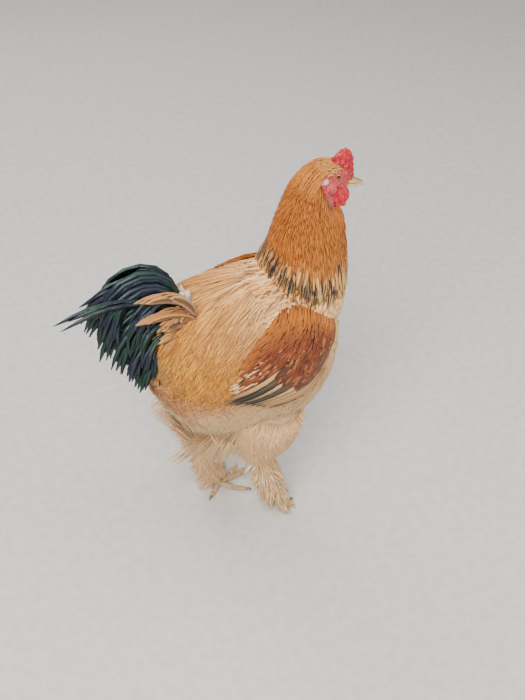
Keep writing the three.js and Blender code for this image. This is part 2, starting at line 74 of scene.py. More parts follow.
def smooth_line(stations, samples=400):
    """A smooth line through rows of numbers, as a table of evenly spaced shares of its stations."""
    p = np.asarray(stations, float)
    n = len(p)
    p = np.vstack([2 * p[0] - p[1], p, 2 * p[-1] - p[-2]])
    where = np.linspace(0, n - 1, samples)
    i = np.minimum(where.astype(int), n - 2)
    w = (where - i)[:, None]
    a, b, c, d = p[i], p[i + 1], p[i + 2], p[i + 3]
    return 0.5 * (2 * b + (c - a) * w + (2 * a - 5 * b + 4 * c - d) * w**2 + (3 * b - a - 3 * c + d) * w**3)


def unit(v):
    """Rows of vectors at length 1."""
    return v / np.maximum(np.linalg.norm(v, axis=-1, keepdims=True), 1e-9)


class Form:
    """A rounded body along a line of stations, each [x, y, z, half width, back radius, front radius]."""

    def __init__(self, stations, side=(0, 1, 0), domes=(0.12, 0.12)):
        table = smooth_line(stations)
        self.shares = np.linspace(0, 1, len(table))
        self.centres, self.radii = table[:, :3], table[:, 3:]
        self.ways = unit(np.gradient(self.centres, axis=0))
        self.side, self.domes = np.asarray(side, float), domes

    def look(self, table, s):
        """Rows of a table at shares of the form's line."""
        s = np.clip(s, 0, 1)
        return np.stack([np.interp(s, self.shares, table[:, k]) for k in range(table.shape[1])], -1)

    def swell(self, s):
        """How full the form is along its line: 1, and rounding to 0 at both ends."""
        near = np.minimum(1, s / self.domes[0])
        far = np.minimum(1, (1 - s) / self.domes[1])
        return np.sqrt(np.maximum(1 - (1 - near) ** 2, 0)) * np.sqrt(np.maximum(1 - (1 - far) ** 2, 0))

    def __call__(self, s, turn, lift=0.0):
        """Surface points. Turn 0 is the side and a quarter turn the back. Lift is the height over them."""
        s, turn, lift = np.broadcast_arrays(np.clip(s, 0.001, 0.999), turn, lift)
        way = unit(self.look(self.ways, s))
        across = unit(self.side - way * (way @ self.side)[..., None])
        back = np.cross(way, across)
        size = self.look(self.radii, s) * self.swell(s)[..., None]
        c, d = np.cos(turn), np.sin(turn)
        depth = np.where(d > 0, size[..., 1], size[..., 2])
        out = self.look(self.centres, s) + across * (c * (size[..., 0] + lift))[..., None]
        return out + back * (d * (depth + lift))[..., None]


torso = Form(
    [
        [-176, 0, 356, 56, 48, 68], [-138, 0, 364, 86, 76, 120], [-85, 0, 368, 97, 100, 150],
        [-25, 0, 366, 98, 112, 160], [35, 0, 366, 100, 112, 156], [78, 0, 372, 86, 104, 120],
        [108, 0, 378, 66, 80, 76], [132, 0, 380, 44, 50, 46],
    ]
)
neck = Form([
    [70, 0, 404, 84, 70, 66], [84, 0, 455, 76, 68, 60], [93, 0, 500, 60, 61, 54], [98, 0, 545, 46, 56, 46],
    [102, 0, 588, 34, 45, 34], [108, 0, 626, 24, 32, 16],
], domes=(0.1, 0.16))

YAW, PITCH = math.radians(-10), math.radians(8)
HEAD = Matrix.Translation((126, -2, 614)) @ Matrix.Rotation(YAW, 4, "Z") @ Matrix.Rotation(PITCH, 4, "Y")
HEAD_SIDE = tuple(HEAD.to_3x3() @ Vector((0, 1, 0)))


def in_head(x, y, z):
    """A place given in the head's own axes, in the bird's own frame."""
    return list(HEAD @ Vector((x, y, z)))


def head_local(p):
    """Points of the bird in the head's own axes."""
    return (p - np.array(HEAD.translation)) @ np.array(HEAD.inverted().to_3x3()).T


head = Form([
    in_head(-36, 0, -1) + [15, 16, 18], in_head(-20, 0, 3) + [20, 20, 25], in_head(-3, 0, 3) + [19, 20, 24],
    in_head(12, 0, 0) + [15.5, 17, 18], in_head(27, 0, -6) + [10, 10, 10],
], side=HEAD_SIDE, domes=(0.3, 0.14))

HIPS = {"left": (-6, 52, 262), "right": (10, -52, 262)}
HOCKS = {"left": (-78, 43, 122), "right": (-12, -49, 150)}
ANKLES = {"left": (-52, 39, 15), "right": (24, -43, 42)}
HEADINGS = {"left": 14, "right": -2}
HANDS = {"left": LEFT, "right": RIGHT}


def mix(a, b, share):
    return [p + (q - p) * share for p, q in zip(a, b)]


def lifted(p, dz):
    return [p[0], p[1], p[2] + dz]


thighs = {
    leg: Form([
        list(HIPS[leg]) + [50, 64, 62], mix(HIPS[leg], HOCKS[leg], 0.55) + [43, 46, 50],
        lifted(HOCKS[leg], 16) + [27, 30, 29], lifted(HOCKS[leg], -8) + [19, 20, 19],
    ], domes=(0.1, 0.2)) for leg in HIPS
}
shanks = {
    leg: Form([
        lifted(HOCKS[leg], 4) + [16, 17, 17], mix(HOCKS[leg], ANKLES[leg], 0.4) + [17, 18, 18],
        mix(HOCKS[leg], ANKLES[leg], 0.8) + [14, 15, 14], list(ANKLES[leg]) + [10, 11, 10],
    ], domes=(0.15, 0.1)) for leg in HIPS
}

TORSO_LONG, NECK_LONG, HEAD_LONG = 310, 232, 63  # along their lines

# The wing in the side view: x of its front and tip, and z of its upper and lower edges from front to tip
WING_FRONT, WING_TIP = 100.0, -88.0
wing_top_line = smooth_line([[z] for z in (424, 450, 458, 450, 424, 384, 356)])[:, 0]
wing_low_line = smooth_line([[z] for z in (396, 358, 330, 317, 318, 330, 342)])[:, 0]


def wing_top(u):
    return np.interp(u, np.linspace(0, 1, len(wing_top_line)), wing_top_line)


def wing_low(u):
    return np.interp(u, np.linspace(0, 1, len(wing_low_line)), wing_low_line)


def wing_share(x, z):
    """Shares of the way from the wing's front to its tip, and from its upper edge to its lower one."""
    u = np.clip((WING_FRONT - x) / (WING_FRONT - WING_TIP), 0, 1)
    return u, (wing_top(u) - z) / (wing_top(u) - wing_low(u))


def flank(x, z, hand, lift=0.0):
    """Point on the torso's side at a place of the side view, `lift` outside it."""
    s = np.interp(x, torso.centres[:, 0], torso.shares)
    centre = torso.look(torso.centres, s)
    size = torso.look(torso.radii, s) * torso.swell(s)[..., None]
    rise = z - centre[..., 2]
    share = np.clip(rise / (np.where(rise > 0, size[..., 1], size[..., 2]) + lift), -0.98, 0.98)
    return np.stack([x + 0 * z, hand * (size[..., 0] + lift) * np.sqrt(1 - share**2), z + 0 * x], -1)


def on_wing(hand):
    """The wing's face as a surface of side-view places, both in millimetres."""
    def face(x, z, lift=0.0):
        x, z, lift = np.broadcast_arrays(np.asarray(x, float), z, lift)
        u, v = wing_share(x, z)
        v = np.clip(v, 0, 1)
        across = np.sin(np.pi * np.minimum(0.98, v * 0.8 + 0.04))
        along = np.sin(np.pi * np.minimum(0.9, u * 0.8 + 0.14))
        rise = 7 + 15 * across * along
        return flank(x, z, hand, rise + lift)
    return face


# Meshes


def finish_mesh(name, vertices, faces, material, nodes):
    """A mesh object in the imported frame, riding on the bird."""
    mesh = bpy.data.meshes.new(name)
    vertices = place(vertices)
    mesh.vertices.add(len(vertices))
    mesh.vertices.foreach_set("co", vertices.astype(np.float32).ravel())
    corners, count = faces.shape[1], len(faces)
    mesh.loops.add(count * corners)
    mesh.loops.foreach_set("vertex_index", faces.astype(np.int32).ravel())
    mesh.polygons.add(count)
    mesh.polygons.foreach_set("loop_start", np.arange(0, count * corners, corners, dtype=np.int32))
    mesh.update(calc_edges=True)
    mesh.shade_smooth()
    piece = bpy.data.objects.new(name, mesh)
    bpy.context.scene.collection.objects.link(piece)
    return dress(piece, material, nodes)


def dress(piece, material, nodes):
    """Gives a piece its material and says where it belongs."""
    piece.data.materials.clear()
    piece.data.materials.append(material)
    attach(piece, "root")
    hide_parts(*nodes)
    return piece


def tube(form, steps, sides, lift=0.0):
    """Closed skin over a form: points, and faces as lists of point numbers."""
    even = np.linspace(0, 1, steps + 1)
    s = np.clip(0.5 * even + 0.25 * (1 - np.cos(np.pi * even)), 0.002, 0.998)
    turn = np.arange(sides) * 2 * np.pi / sides
    rings = form(s[:, None], turn[None, :], lift)
    points = rings.reshape(-1, 3).tolist()
    points += [rings[0].mean(0).tolist(), rings[-1].mean(0).tolist()]
    start, end, last = len(points) - 2, len(points) - 1, steps * sides
    faces = []
    for j in range(sides):
        k = (j + 1) % sides
        for i in range(steps):
            faces.append((i * sides + j, i * sides + k, (i + 1) * sides + k, (i + 1) * sides + j))
        faces.append((start, k, j))
        faces.append((end, last + j, last + k))
    return points, faces


def raw_tube(name, form, steps, sides, lift=0.0):
    """A form as an object still in the making, in the bird's own millimetres."""
    points, faces = tube(form, steps, sides, lift)
    mesh = bpy.data.meshes.new(name)
    mesh.from_pydata(points, [], faces)
    mesh.update()
    piece = bpy.data.objects.new(name, mesh)
    bpy.context.scene.collection.objects.link(piece)
    return piece


def select_only(*pieces):
    bpy.ops.object.select_all(action="DESELECT")
    for piece in pieces:
        piece.select_set(True)
    bpy.context.view_layer.objects.active = pieces[0]


def fuse(name, pieces, voxel, rounds):
    """Joins pieces in the making into one closed surface and eases its creases."""
    select_only(*pieces)
    bpy.ops.object.join()
    piece = bpy.context.view_layer.objects.active
    piece.name = name
    remesh = piece.modifiers.new("fuse", "REMESH")
    remesh.mode = "VOXEL"
    remesh.voxel_size = voxel
    bpy.ops.object.modifier_apply(modifier=remesh.name)
    ease = piece.modifiers.new("ease", "SMOOTH")
    ease.factor, ease.iterations = 0.5, rounds
    bpy.ops.object.modifier_apply(modifier=ease.name)
    return piece


def points_of(mesh):
    points = np.empty(len(mesh.vertices) * 3)
    mesh.vertices.foreach_get("co", points)
    return points.reshape(-1, 3)


def settle(piece):
    """Brings a piece from the bird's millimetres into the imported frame."""
    mesh = piece.data
    mesh.vertices.foreach_set("co", place(points_of(mesh)).ravel())
    mesh.update()
    mesh.shade_smooth()
    return piece


def lump(x, y, z, size, turn=(0, 0, 0), detail=24):
    """A rounded lump of the head, shaped from a sphere and placed by the head's own axes."""
    bpy.ops.object.select_all(action="DESELECT")
    bpy.ops.mesh.primitive_uv_sphere_add(segments=detail, ring_count=detail // 2, radius=1)
    piece = bpy.context.active_object
    tilt = Matrix.Rotation(math.radians(turn[2]), 4, "Z") @ Matrix.Rotation(math.radians(turn[1]), 4, "Y")
    tilt = tilt @ Matrix.Rotation(math.radians(turn[0]), 4, "X")
    piece.data.transform(HEAD @ Matrix.Translation((x, y, z)) @ tilt @ Matrix.Diagonal((*size, 1)))
    return piece


# Feathers


class Feathers:
    """Many feathers of one coat, each a thin closed vane over a path, with its own colours and bake patch."""

    def __init__(self):
        self.rows = []

    def add(self, paths, normals, widths, tint, heart, stripe, patch, thick=0.35, tip_tint=None):
        """Adds n feathers of k stations: paths (n, k, 3), widths (n, k). The rest may be one for all."""
        n, k, _ = paths.shape
        way = unit(np.gradient(paths, axis=1))
        across = unit(np.cross(normals, way))
        up = np.cross(way, across)
        half = widths[..., None] / 2
        ridge = paths + up * (thick + widths[..., None] * 0.07)
        points = np.stack([paths + across * half, ridge, paths - across * half], 2)
        vane = np.zeros((n, k, 3, 3))
        vane[..., 0] = np.array([0.0, 0.5, 1.0])[None, None, :]
        vane[..., 1] = np.linspace(0, 1, k)[None, :, None]
        vane[..., 2] = np.broadcast_to(stripe, (n,))[:, None, None]
        tint = np.broadcast_to(np.asarray(tint, float), (n, 3))
        heart = np.broadcast_to(np.asarray(heart, float), (n, 3))
        colour = np.repeat(tint[:, None, :], k, 1)
        if tip_tint is not None:
            share = (np.linspace(0, 1, k) ** 1.5)[None, :, None]
            colour = colour * (1 - share) + np.broadcast_to(tip_tint, (n, 3))[:, None, :] * share
        colour = np.repeat(colour[:, :, None, :], 3, 2)
        core = np.broadcast_to(heart[:, None, None, :], (n, k, 3, 3))
        at = np.arange(k * 3).reshape(k, 3)
        ahead = np.roll(at, -1, 1)
        quads = np.stack([at[:-1], ahead[:-1], ahead[1:], at[1:]], -1).reshape(-1, 4)
        caps = np.array([at[0, ::-1], at[-1]])
        local = 0.003 * (vane[..., :2] - 0.5) + np.broadcast_to(patch, (n, 2))[:, None, None, :]
        values = [rows.reshape(n, -1, rows.shape[-1]) for rows in (points, vane, colour, core, local)]
        self.rows.append((np.concatenate([quads[:, [0, 1, 2]], quads[:, [0, 2, 3]], caps]), values))

    def build(self, name, material, slot, nodes):
        """Makes one mesh of all the feathers, with their colours and their bake map."""
        faces, base = [], 0
        for triangles, values in self.rows:
            n, m = values[0].shape[:2]
            offset = base + np.arange(n)[:, None, None] * m
            faces.append((offset + triangles[None]).reshape(-1, 3))
            base += n * m
        faces = np.concatenate(faces)
        kinds = zip(*(values for _, values in self.rows))
        points, vane, tint, core, local = (
            np.concatenate([rows.reshape(-1, rows.shape[-1]) for rows in kind]) for kind in kinds
        )
        piece = finish_mesh(name, points, faces, material, nodes)
        mesh = piece.data
        stored = mesh.attributes.new("vane", "FLOAT_VECTOR", "POINT")
        stored.data.foreach_set("vector", vane.astype(np.float32).ravel())
        paint(piece, tint)
        paint(piece, core, "heart")
        patch = mesh.uv_layers.new(name="OFBake")
        spots = np.clip(local[faces.ravel()], 0.001, 0.999)
        patch.data.foreach_set("uv", spots.astype(np.float32).ravel())
        return piece


def linear(r, g, b):
    """A colour as it looks on a screen, 0 to 255, as the light that it reflects."""
    share = np.array([r, g, b]) / 255
    return np.where(share <= 0.04, share / 12.92, ((share + 0.055) / 1.055) ** 2.4)


def blend(a, b, share):
    """One colour or rows of them, between a (share 0) and b (share 1)."""
    share = np.asarray(share)[..., None]
    return np.asarray(a) * (1 - share) + np.asarray(b) * share


def paths_on(surface, a, b, aim, length, lifts, count, bend=0.0):
    """Feather paths on a surface of two coordinates, which leave (a, b) along `aim` and curve by `bend`."""
    da, db = aim[:, 0], aim[:, 1]
    tiny = 0.01
    start = surface(a, b, 0.0)
    size = np.linalg.norm(surface(a + da * tiny, b + db * tiny, 0.0) - start, axis=-1) / tiny
    scale = length / np.maximum(size, 1e-6)
    t = np.linspace(0, 1, count)[None, :]
    turned = np.reshape(bend, (-1, 1)) * t * t
    step = scale[:, None] * t
    aa = a[:, None] + step * da[:, None] - turned * step * db[:, None]
    bb = b[:, None] + step * db[:, None] + turned * step * da[:, None]
    height = 0
    for i, lift in enumerate(lifts):
        share = np.maximum(0, 1 - np.abs(t * (len(lifts) - 1) - i))
        height = height + np.reshape(lift, (-1, 1)) * share
    paths = surface(aa, bb, height)
    normals = unit(surface(aa, bb, height + 1.0) - paths)
    return paths, normals


def straight_paths(root, way, reach, count=5):
    """Straight feather paths, and the shares of the way along them."""
    t = np.linspace(0, 1, count)[None, :]
    return root[:, None] + way[:, None] * reach[:, None, None] * t[..., None], t


def down_side(turn):
    """The direction of turn that leads down from the back, on each side."""
    return np.where(np.cos(turn) >= 0, -1.0, 1.0)


def rows_on(form, s0, s1, pace, spacing, chance, turns=(0, 2 * math.pi)):
    """Roots in even staggered rows over a form: shares and turns."""
    fine = np.linspace(s0, s1, 200)
    line = form(fine, np.full(200, np.pi / 2), 0.0)
    walk = np.concatenate([[0], np.cumsum(np.linalg.norm(np.diff(line, axis=0), axis=1))])
    count = max(2, int(walk[-1] / pace))
    shares = np.interp(np.linspace(0, walk[-1], count), walk, fine)
    all_s, all_t = [], []
    for i, s in enumerate(shares):
        fan = np.linspace(turns[0], turns[1], 60)
        ring = form(np.full(60, s), fan, 0.0)
        arc = np.concatenate([[0], np.cumsum(np.linalg.norm(np.diff(ring, axis=0), axis=1))])
        many = max(2, int(arc[-1] / spacing))
        where = (np.arange(many) + 0.5 * (i % 2) + 0.35 * chance.uniform(-1, 1, many)) / many * arc[-1]
        all_t.append(np.interp(where, arc, fan))
        all_s.append(s + (s1 - s0) / count * 0.45 * chance.uniform(-1, 1, many))
    return np.concatenate(all_s), np.concatenate(all_t)


def patch_at(column, s, turn):
    """The bake patch of a root: each form has its own square of the map, with a margin round it."""
    square, used, margin = 0.25, 0.235, 0.007
    u = np.mod(turn, 2 * np.pi) / (2 * np.pi) * used + square * (column % 4) + margin
    v = np.clip(s, 0, 1) * used + square * (column // 4) + margin
    return np.stack(np.broadcast_arrays(u, v), -1)


PROFILES = {
    "hackle": (0.45, 0.95, 1.0, 0.72, 0.06),
    "body": (0.5, 1.0, 1.0, 0.35),
    "wisp": (0.6, 1.0, 0.7, 0.05),
    "covert": (0.5, 0.95, 1.0, 0.85, 0.3),
}


def width_of(width, profile, count=0):
    """Widths of feathers along their length, at `count` places or as many as the profile has."""
    shape = np.array(PROFILES[profile])
    if count:
        shape = np.interp(np.linspace(0, 1, count), np.linspace(0, 1, len(shape)), shape)
    return np.asarray(width)[:, None] * shape[None, :]


# Colours, as they look in daylight

AMBER = linear(184, 92, 14)
GOLD = linear(214, 140, 42)
SADDLE_GOLD = linear(222, 152, 34)
STRAW = linear(238, 196, 124)
PEACH = linear(255, 188, 116)
CREAM = linear(255, 216, 164)
TAN = linear(198, 138, 78)
CHESTNUT = linear(90, 32, 18)
RUST = linear(156, 72, 30)
DUSK = linear(92, 60, 40)
BLACK = linear(26, 26, 26)
SKIN_RED = linear(196, 52, 56)


class BirdSettings(bpy.types.PropertyGroup):
    """Sizes and colours of the bird's coat that a user would change."""

    density: bpy.props.FloatProperty(
        name="Density", description="How thickly the feathers stand, as a share of the model's own",
        default=1.0, min=0.2, max=1.5, subtype="FACTOR",
    )
    hackle_length: bpy.props.FloatProperty(
        name="Hackle length", description="Length of the neck feathers at the foot of the neck",
        default=0.062, min=0.02, max=0.1, unit="LENGTH",
    )
    saddle_length: bpy.props.FloatProperty(
        name="Saddle length", description="Length of the saddle feathers over the rump",
        default=0.082, min=0.02, max=0.12, unit="LENGTH",
    )
    fluff_length: bpy.props.FloatProperty(
        name="Fluff length", description="Length of the fluff on belly and thighs",
        default=0.026, min=0.01, max=0.06, unit="LENGTH",
    )
    hackle_colour: bpy.props.FloatVectorProperty(
        name="Hackle", description="Colour of the upper neck feathers",
        default=tuple(AMBER), size=3, min=0, max=1, subtype="COLOR",
    )
    fluff_colour: bpy.props.FloatVectorProperty(
        name="Fluff", description="Colour of the fluff on thighs and shanks",
        default=tuple(CREAM), size=3, min=0, max=1, subtype="COLOR",
    )


# Shader maths


class Flow:
    """A socket that Python's own operators work on."""

    def __init__(self, tree, socket):
        self.tree, self.socket = tree, socket

    def _do(self, kind, a, b=None):
        node = self.tree.node("ShaderNodeMath", {"operation": kind}, {0: a} if b is None else {0: a, 1: b})
        return node[0]

    def __add__(self, other):
        return self._do("ADD", self, other)

    __radd__ = __add__

    def __mul__(self, other):
        return self._do("MULTIPLY", self, other)

    __rmul__ = __mul__

    def __sub__(self, other):
        return self._do("SUBTRACT", self, other)

    def __rsub__(self, other):
        return self._do("SUBTRACT", other, self)

    def __truediv__(self, other):
        return self._do("DIVIDE", self, other)

    def __abs__(self):
        return self._do("ABSOLUTE", self)

    def over(self, low, high):
        """0 below low and 1 above high, smooth between."""
        node = self.tree.node("ShaderNodeMapRange", {"interpolation_type": "SMOOTHSTEP", "clamp": True},
                              {"Value": self, "From Min": low, "From Max": high})
        return node[0]


SHADER_INPUTS = {
    "colour": "Base Color", "rough": "Roughness", "metal": "Metallic", "specular": "Specular IOR Level",
    "coat": "Coat Weight", "coat_rough": "Coat Roughness", "sheen": "Sheen Weight",
    "sheen_rough": "Sheen Roughness", "soft": "Subsurface Weight", "soft_scale": "Subsurface Scale",
}


class Finish:
    """A material in the making."""

    def __init__(self, name):
        self.material = bpy.data.materials.new(name)
        self.material.use_nodes = True
        self.nodes, self.links = self.material.node_tree.nodes, self.material.node_tree.links
        self.shader = self.nodes["Principled BSDF"]

    def put(self, socket, value):
        if isinstance(value, Flow):
            self.links.new(value.socket, socket)
        elif isinstance(value, bpy.types.NodeSocket):
            self.links.new(value, socket)
        else:
            if getattr(socket, "type", "") == "RGBA" and len(value) == 3:
                value = (*value, 1)
            socket.default_value = value

    def node(self, kind, settings=None, values=None):
        """Adds a node and gives back its outputs."""
        made = self.nodes.new(kind)
        for key, value in (settings or {}).items():
            setattr(made, key, value)
        for key, value in (values or {}).items():
            self.put(made.inputs[key], value)
        return [Flow(self, out) for out in made.outputs if out.enabled]

    def colour_mix(self, share, a, b, way="MIX"):
        made = self.nodes.new("ShaderNodeMix")
        made.data_type, made.blend_type = "RGBA", way
        for key, value in ((0, share), (6, a), (7, b)):
            self.put(made.inputs[key], value)
        return Flow(self, made.outputs[2])

    def place(self):
        return self.node("ShaderNodeTexCoord")[3]

    def attribute(self, name, output=0):
        """A point attribute as a colour (output 0) or as a vector (output 1)."""
        return self.node("ShaderNodeAttribute", {"attribute_name": name})[output]

    def shaded(self, colour, shade):
        """A colour times a grey."""
        grey = self.node("ShaderNodeCombineColor", {}, {0: shade, 1: shade, 2: shade})[0]
        return self.colour_mix(1.0, colour, grey, "MULTIPLY")

    def noise(self, scale, detail=3.0, vector=None):
        values = {"Vector": vector or self.place(), "Scale": scale, "Detail": detail}
        return self.node("ShaderNodeTexNoise", {}, values)[0]

    def bump(self, height, strength, distance):
        values = {"Height": height, "Strength": strength, "Distance": distance}
        self.put(self.shader.inputs["Normal"], self.node("ShaderNodeBump", {}, values)[0])

    def set(self, **values):
        for key, value in values.items():
            self.put(self.shader.inputs[SHADER_INPUTS[key]], value)
        return self.material


def feather_finish(name, gloss=0.55, sheen=0.25, barb=0.5, grain=0.16, green=False):
    """Feather vane: a rachis, slanting barbs, and a dark heart inside the edge where it is striped."""
    finish = Finish(name)
    vane, tint, heart = finish.attribute("vane", 1), finish.attribute("tint"), finish.attribute("heart")
    across, along, stripe = finish.node("ShaderNodeSeparateXYZ", {}, {0: vane})[:3]
    off_middle = abs(across - 0.5) * 2.0
    ragged = finish.noise(900, 2.0)
    mask = (1.0 - (off_middle + ragged * 0.5).over(0.55, 0.95)) * stripe
    mask = mask * along.over(0.04, 0.2) * (1.0 - along.over(0.9, 0.99))
    barbs = finish.node("ShaderNodeMath", {"operation": "SINE"}, {0: (along * 150.0 + off_middle * 26.0)})[0]
    patchy = finish.noise(260, 3.0)
    # Painted shade: each vane is darker towards its root, where the feathers above it overlap.
    root_shade = (1.0 - along.over(0.0, 0.35)) * 0.16
    shade = 1.0 - grain * 0.6 + patchy * grain * 1.2 + barbs * (0.05 * barb) - root_shade
    colour = finish.shaded(finish.colour_mix(mask, tint, heart), shade)
    rachis = 1.0 - off_middle.over(0.0, 0.14)
    finish.bump(barbs * barb + rachis * 1.2, 0.35, 0.0002)
    if green:
        # Painted sheen: patches of green and blue gleam are mixed into the base colour of the darkest vanes,
        # and their metallic share carries the same tint into the reflections.
        sheen_patches = finish.noise(34, 2.0).over(0.42, 0.62)
        gleam = finish.colour_mix(sheen_patches, linear(26, 74, 60), linear(38, 44, 72))
        dark = 1.0 - finish.node("ShaderNodeSeparateColor", {}, {0: colour})[0].over(0.02, 0.12)
        colour = finish.colour_mix(dark * 0.42, colour, gleam)
        finish.set(colour=colour, rough=gloss + patchy * 0.12, metal=dark * 0.3)
        return finish.set(coat=0.22, coat_rough=0.34, specular=0.5)
    return finish.set(colour=colour, rough=gloss + patchy * 0.1, sheen=sheen, sheen_rough=0.4, specular=0.3)


def skin_finish():
    """Skin under the coat, in the tint painted on it: mostly the coat's colours there, darkened as painted
    shade.
    """
    finish = Finish("down_skin")
    shade = 0.72 + finish.noise(120, 4.0) * 0.4
    finish.bump(finish.noise(700, 3.0), 0.5, 0.0006)
    return finish.set(colour=finish.shaded(finish.attribute("tint"), shade), rough=0.85, sheen=0.3)


def flesh_finish(name, base, deep, wrinkle=0.0012, scale=340, gloss=0.42, pale=None):
    """Bare skin of the head: pebbled and finely creased, deeper red where the pebbling sinks as painted
    shade, and in broad random patches.
    """
    finish = Finish(name)
    spot = finish.place()
    pebbles = {"Vector": spot, "Scale": scale, "Smoothness": 0.7}
    cells = finish.node("ShaderNodeTexVoronoi", {"feature": "SMOOTH_F1"}, pebbles)[0]
    fine = finish.noise(scale * 2.2, 4.0, spot)
    broad = finish.noise(70, 3.0, spot)
    finish.bump(cells * 0.9 + fine * 0.5, 0.75, wrinkle)
    # Painted shade: the deep colour follows the low parts of the pebbled bump, mixed with broad random
    # patches.
    colour = finish.colour_mix((broad * 0.6 + cells * 0.8).over(0.35, 0.95), deep, base)
    if pale is not None:
        colour = finish.colour_mix((fine * broad).over(0.3, 0.5) * 0.35, colour, pale)
    return finish.set(
        colour=colour, rough=gloss + fine * 0.12, soft=0.12, soft_scale=0.004, coat=0.12, coat_rough=0.3
    )


def paint(piece, colours, key="tint"):
    """Gives the piece's points their colours, or one colour to them all."""
    rgba = np.ones((len(piece.data.vertices), 4), np.float32)
    rgba[:, :3] = np.clip(colours, 0, 1)
    stored = piece.data.attributes.new(key, "FLOAT_COLOR", "POINT")
    stored.data.foreach_set("color", rgba.ravel())


def bird_points(piece):
    """A finished piece's points in the bird's own millimetres."""
    return points_of(piece.data) * 1000 - np.array([SHIFT, 0, 0])


# Markings


def body_tint(p, chance):
    """Colour of a body feather by where it grows, in the bird's own millimetres."""
    x, y, z = p[..., 0], np.abs(p[..., 1]), p[..., 2]
    n = len(x)
    low = np.clip((356 - z) / 44, 0, 1)
    back = np.clip((30 - x) / 90, 0, 1) * np.clip((z - 290) / 50, 0, 1)
    rump = np.clip((-105 - x) / 40, 0, 1)
    colour = blend(PEACH, CREAM, chance.uniform(0.0, 0.6, n))
    colour = blend(colour, GOLD, back * chance.uniform(0.4, 0.9, n))
    colour = blend(colour, AMBER, back * np.clip((y - 40) / 50, 0, 1) * chance.uniform(0.0, 0.8, n))
    brown = np.maximum(rump, 0.25 * back) * chance.uniform(0.0, 0.7, n)
    colour = blend(colour, blend(RUST, GOLD, 0.4), brown)
    # Painted shade: some low rump feathers under the tail are darkened towards dusk brown.
    rump_shade = rump * np.clip((330 - z) / 60, 0, 1) * (chance.uniform(0, 1, n) > 0.72) * 0.7
    colour = blend(colour, DUSK, rump_shade)
    colour = blend(colour, CREAM, low * chance.uniform(0.6, 1.0, n))
    colour = blend(colour, TAN, low * (chance.uniform(0, 1, n) > 0.86) * 0.6)
    return colour * chance.uniform(0.86, 1.1, (n, 1))


def hackle_tint(z, chance):
    """Upper hackle is deep amber, and the lower fringe is gold and straw."""
    n = len(z)
    low = np.clip((500 - z) / 45, 0, 1)
    colour = blend(AMBER, GOLD, np.clip((640 - z) / 200, 0.1, 0.7) * chance.uniform(0.1, 1.0, n))
    colour = blend(colour, STRAW, low * chance.uniform(0.1, 0.6, n))
    colour = blend(colour, RUST, (chance.uniform(0, 1, n) > 0.85) * 0.5)
    return colour * chance.uniform(0.82, 1.14, (n, 1)), low


# Operators


def settings():
    return bpy.context.scene.brahma_cock


class COCK_OT_skin(bpy.types.Operator):
    """Makes the skin that the coat grows from, in one surface from nape to ankles"""

    bl_idname = "cock.skin"
    bl_label = "Skin"

    def execute(self, context):
        parts = [raw_tube("torso_skin", torso, 30, 40, -7.0), raw_tube("neck_skin", neck, 24, 32, -9.0)]
        parts.append(lump(-30, 0, -4, (13, 13, 16)))
        for leg in HIPS:
            parts.append(raw_tube("thigh_skin", thighs[leg], 16, 24, -6.0))
            parts.append(raw_tube("shank_skin", shanks[leg], 14, 18, -5.0))
        skin = fuse("skin", parts, 4.0, 8)
        settle(skin)
        nodes = ("torso", "neck", "thigh_left", "thigh_right", "shank_left", "shank_right")
        dress(skin, skin_finish(), nodes)
        p = bird_points(skin)
        tint = body_tint(p, np.random.RandomState(3))
        on_neck = np.clip((p[:, 2] - 455) / 20, 0, 1)
        tint = blend(tint, blend(GOLD, AMBER, np.clip((p[:, 2] - 480) / 90, 0, 1)), on_neck)
        # Painted shade: under the coat the skin takes the coat's colour at six tenths, so the gaps between
        # feathers read dark; the bare face is red.
        tint = blend(tint * 0.6, SKIN_RED, bare_face(p))
        paint(skin, tint)
        return {"FINISHED"}


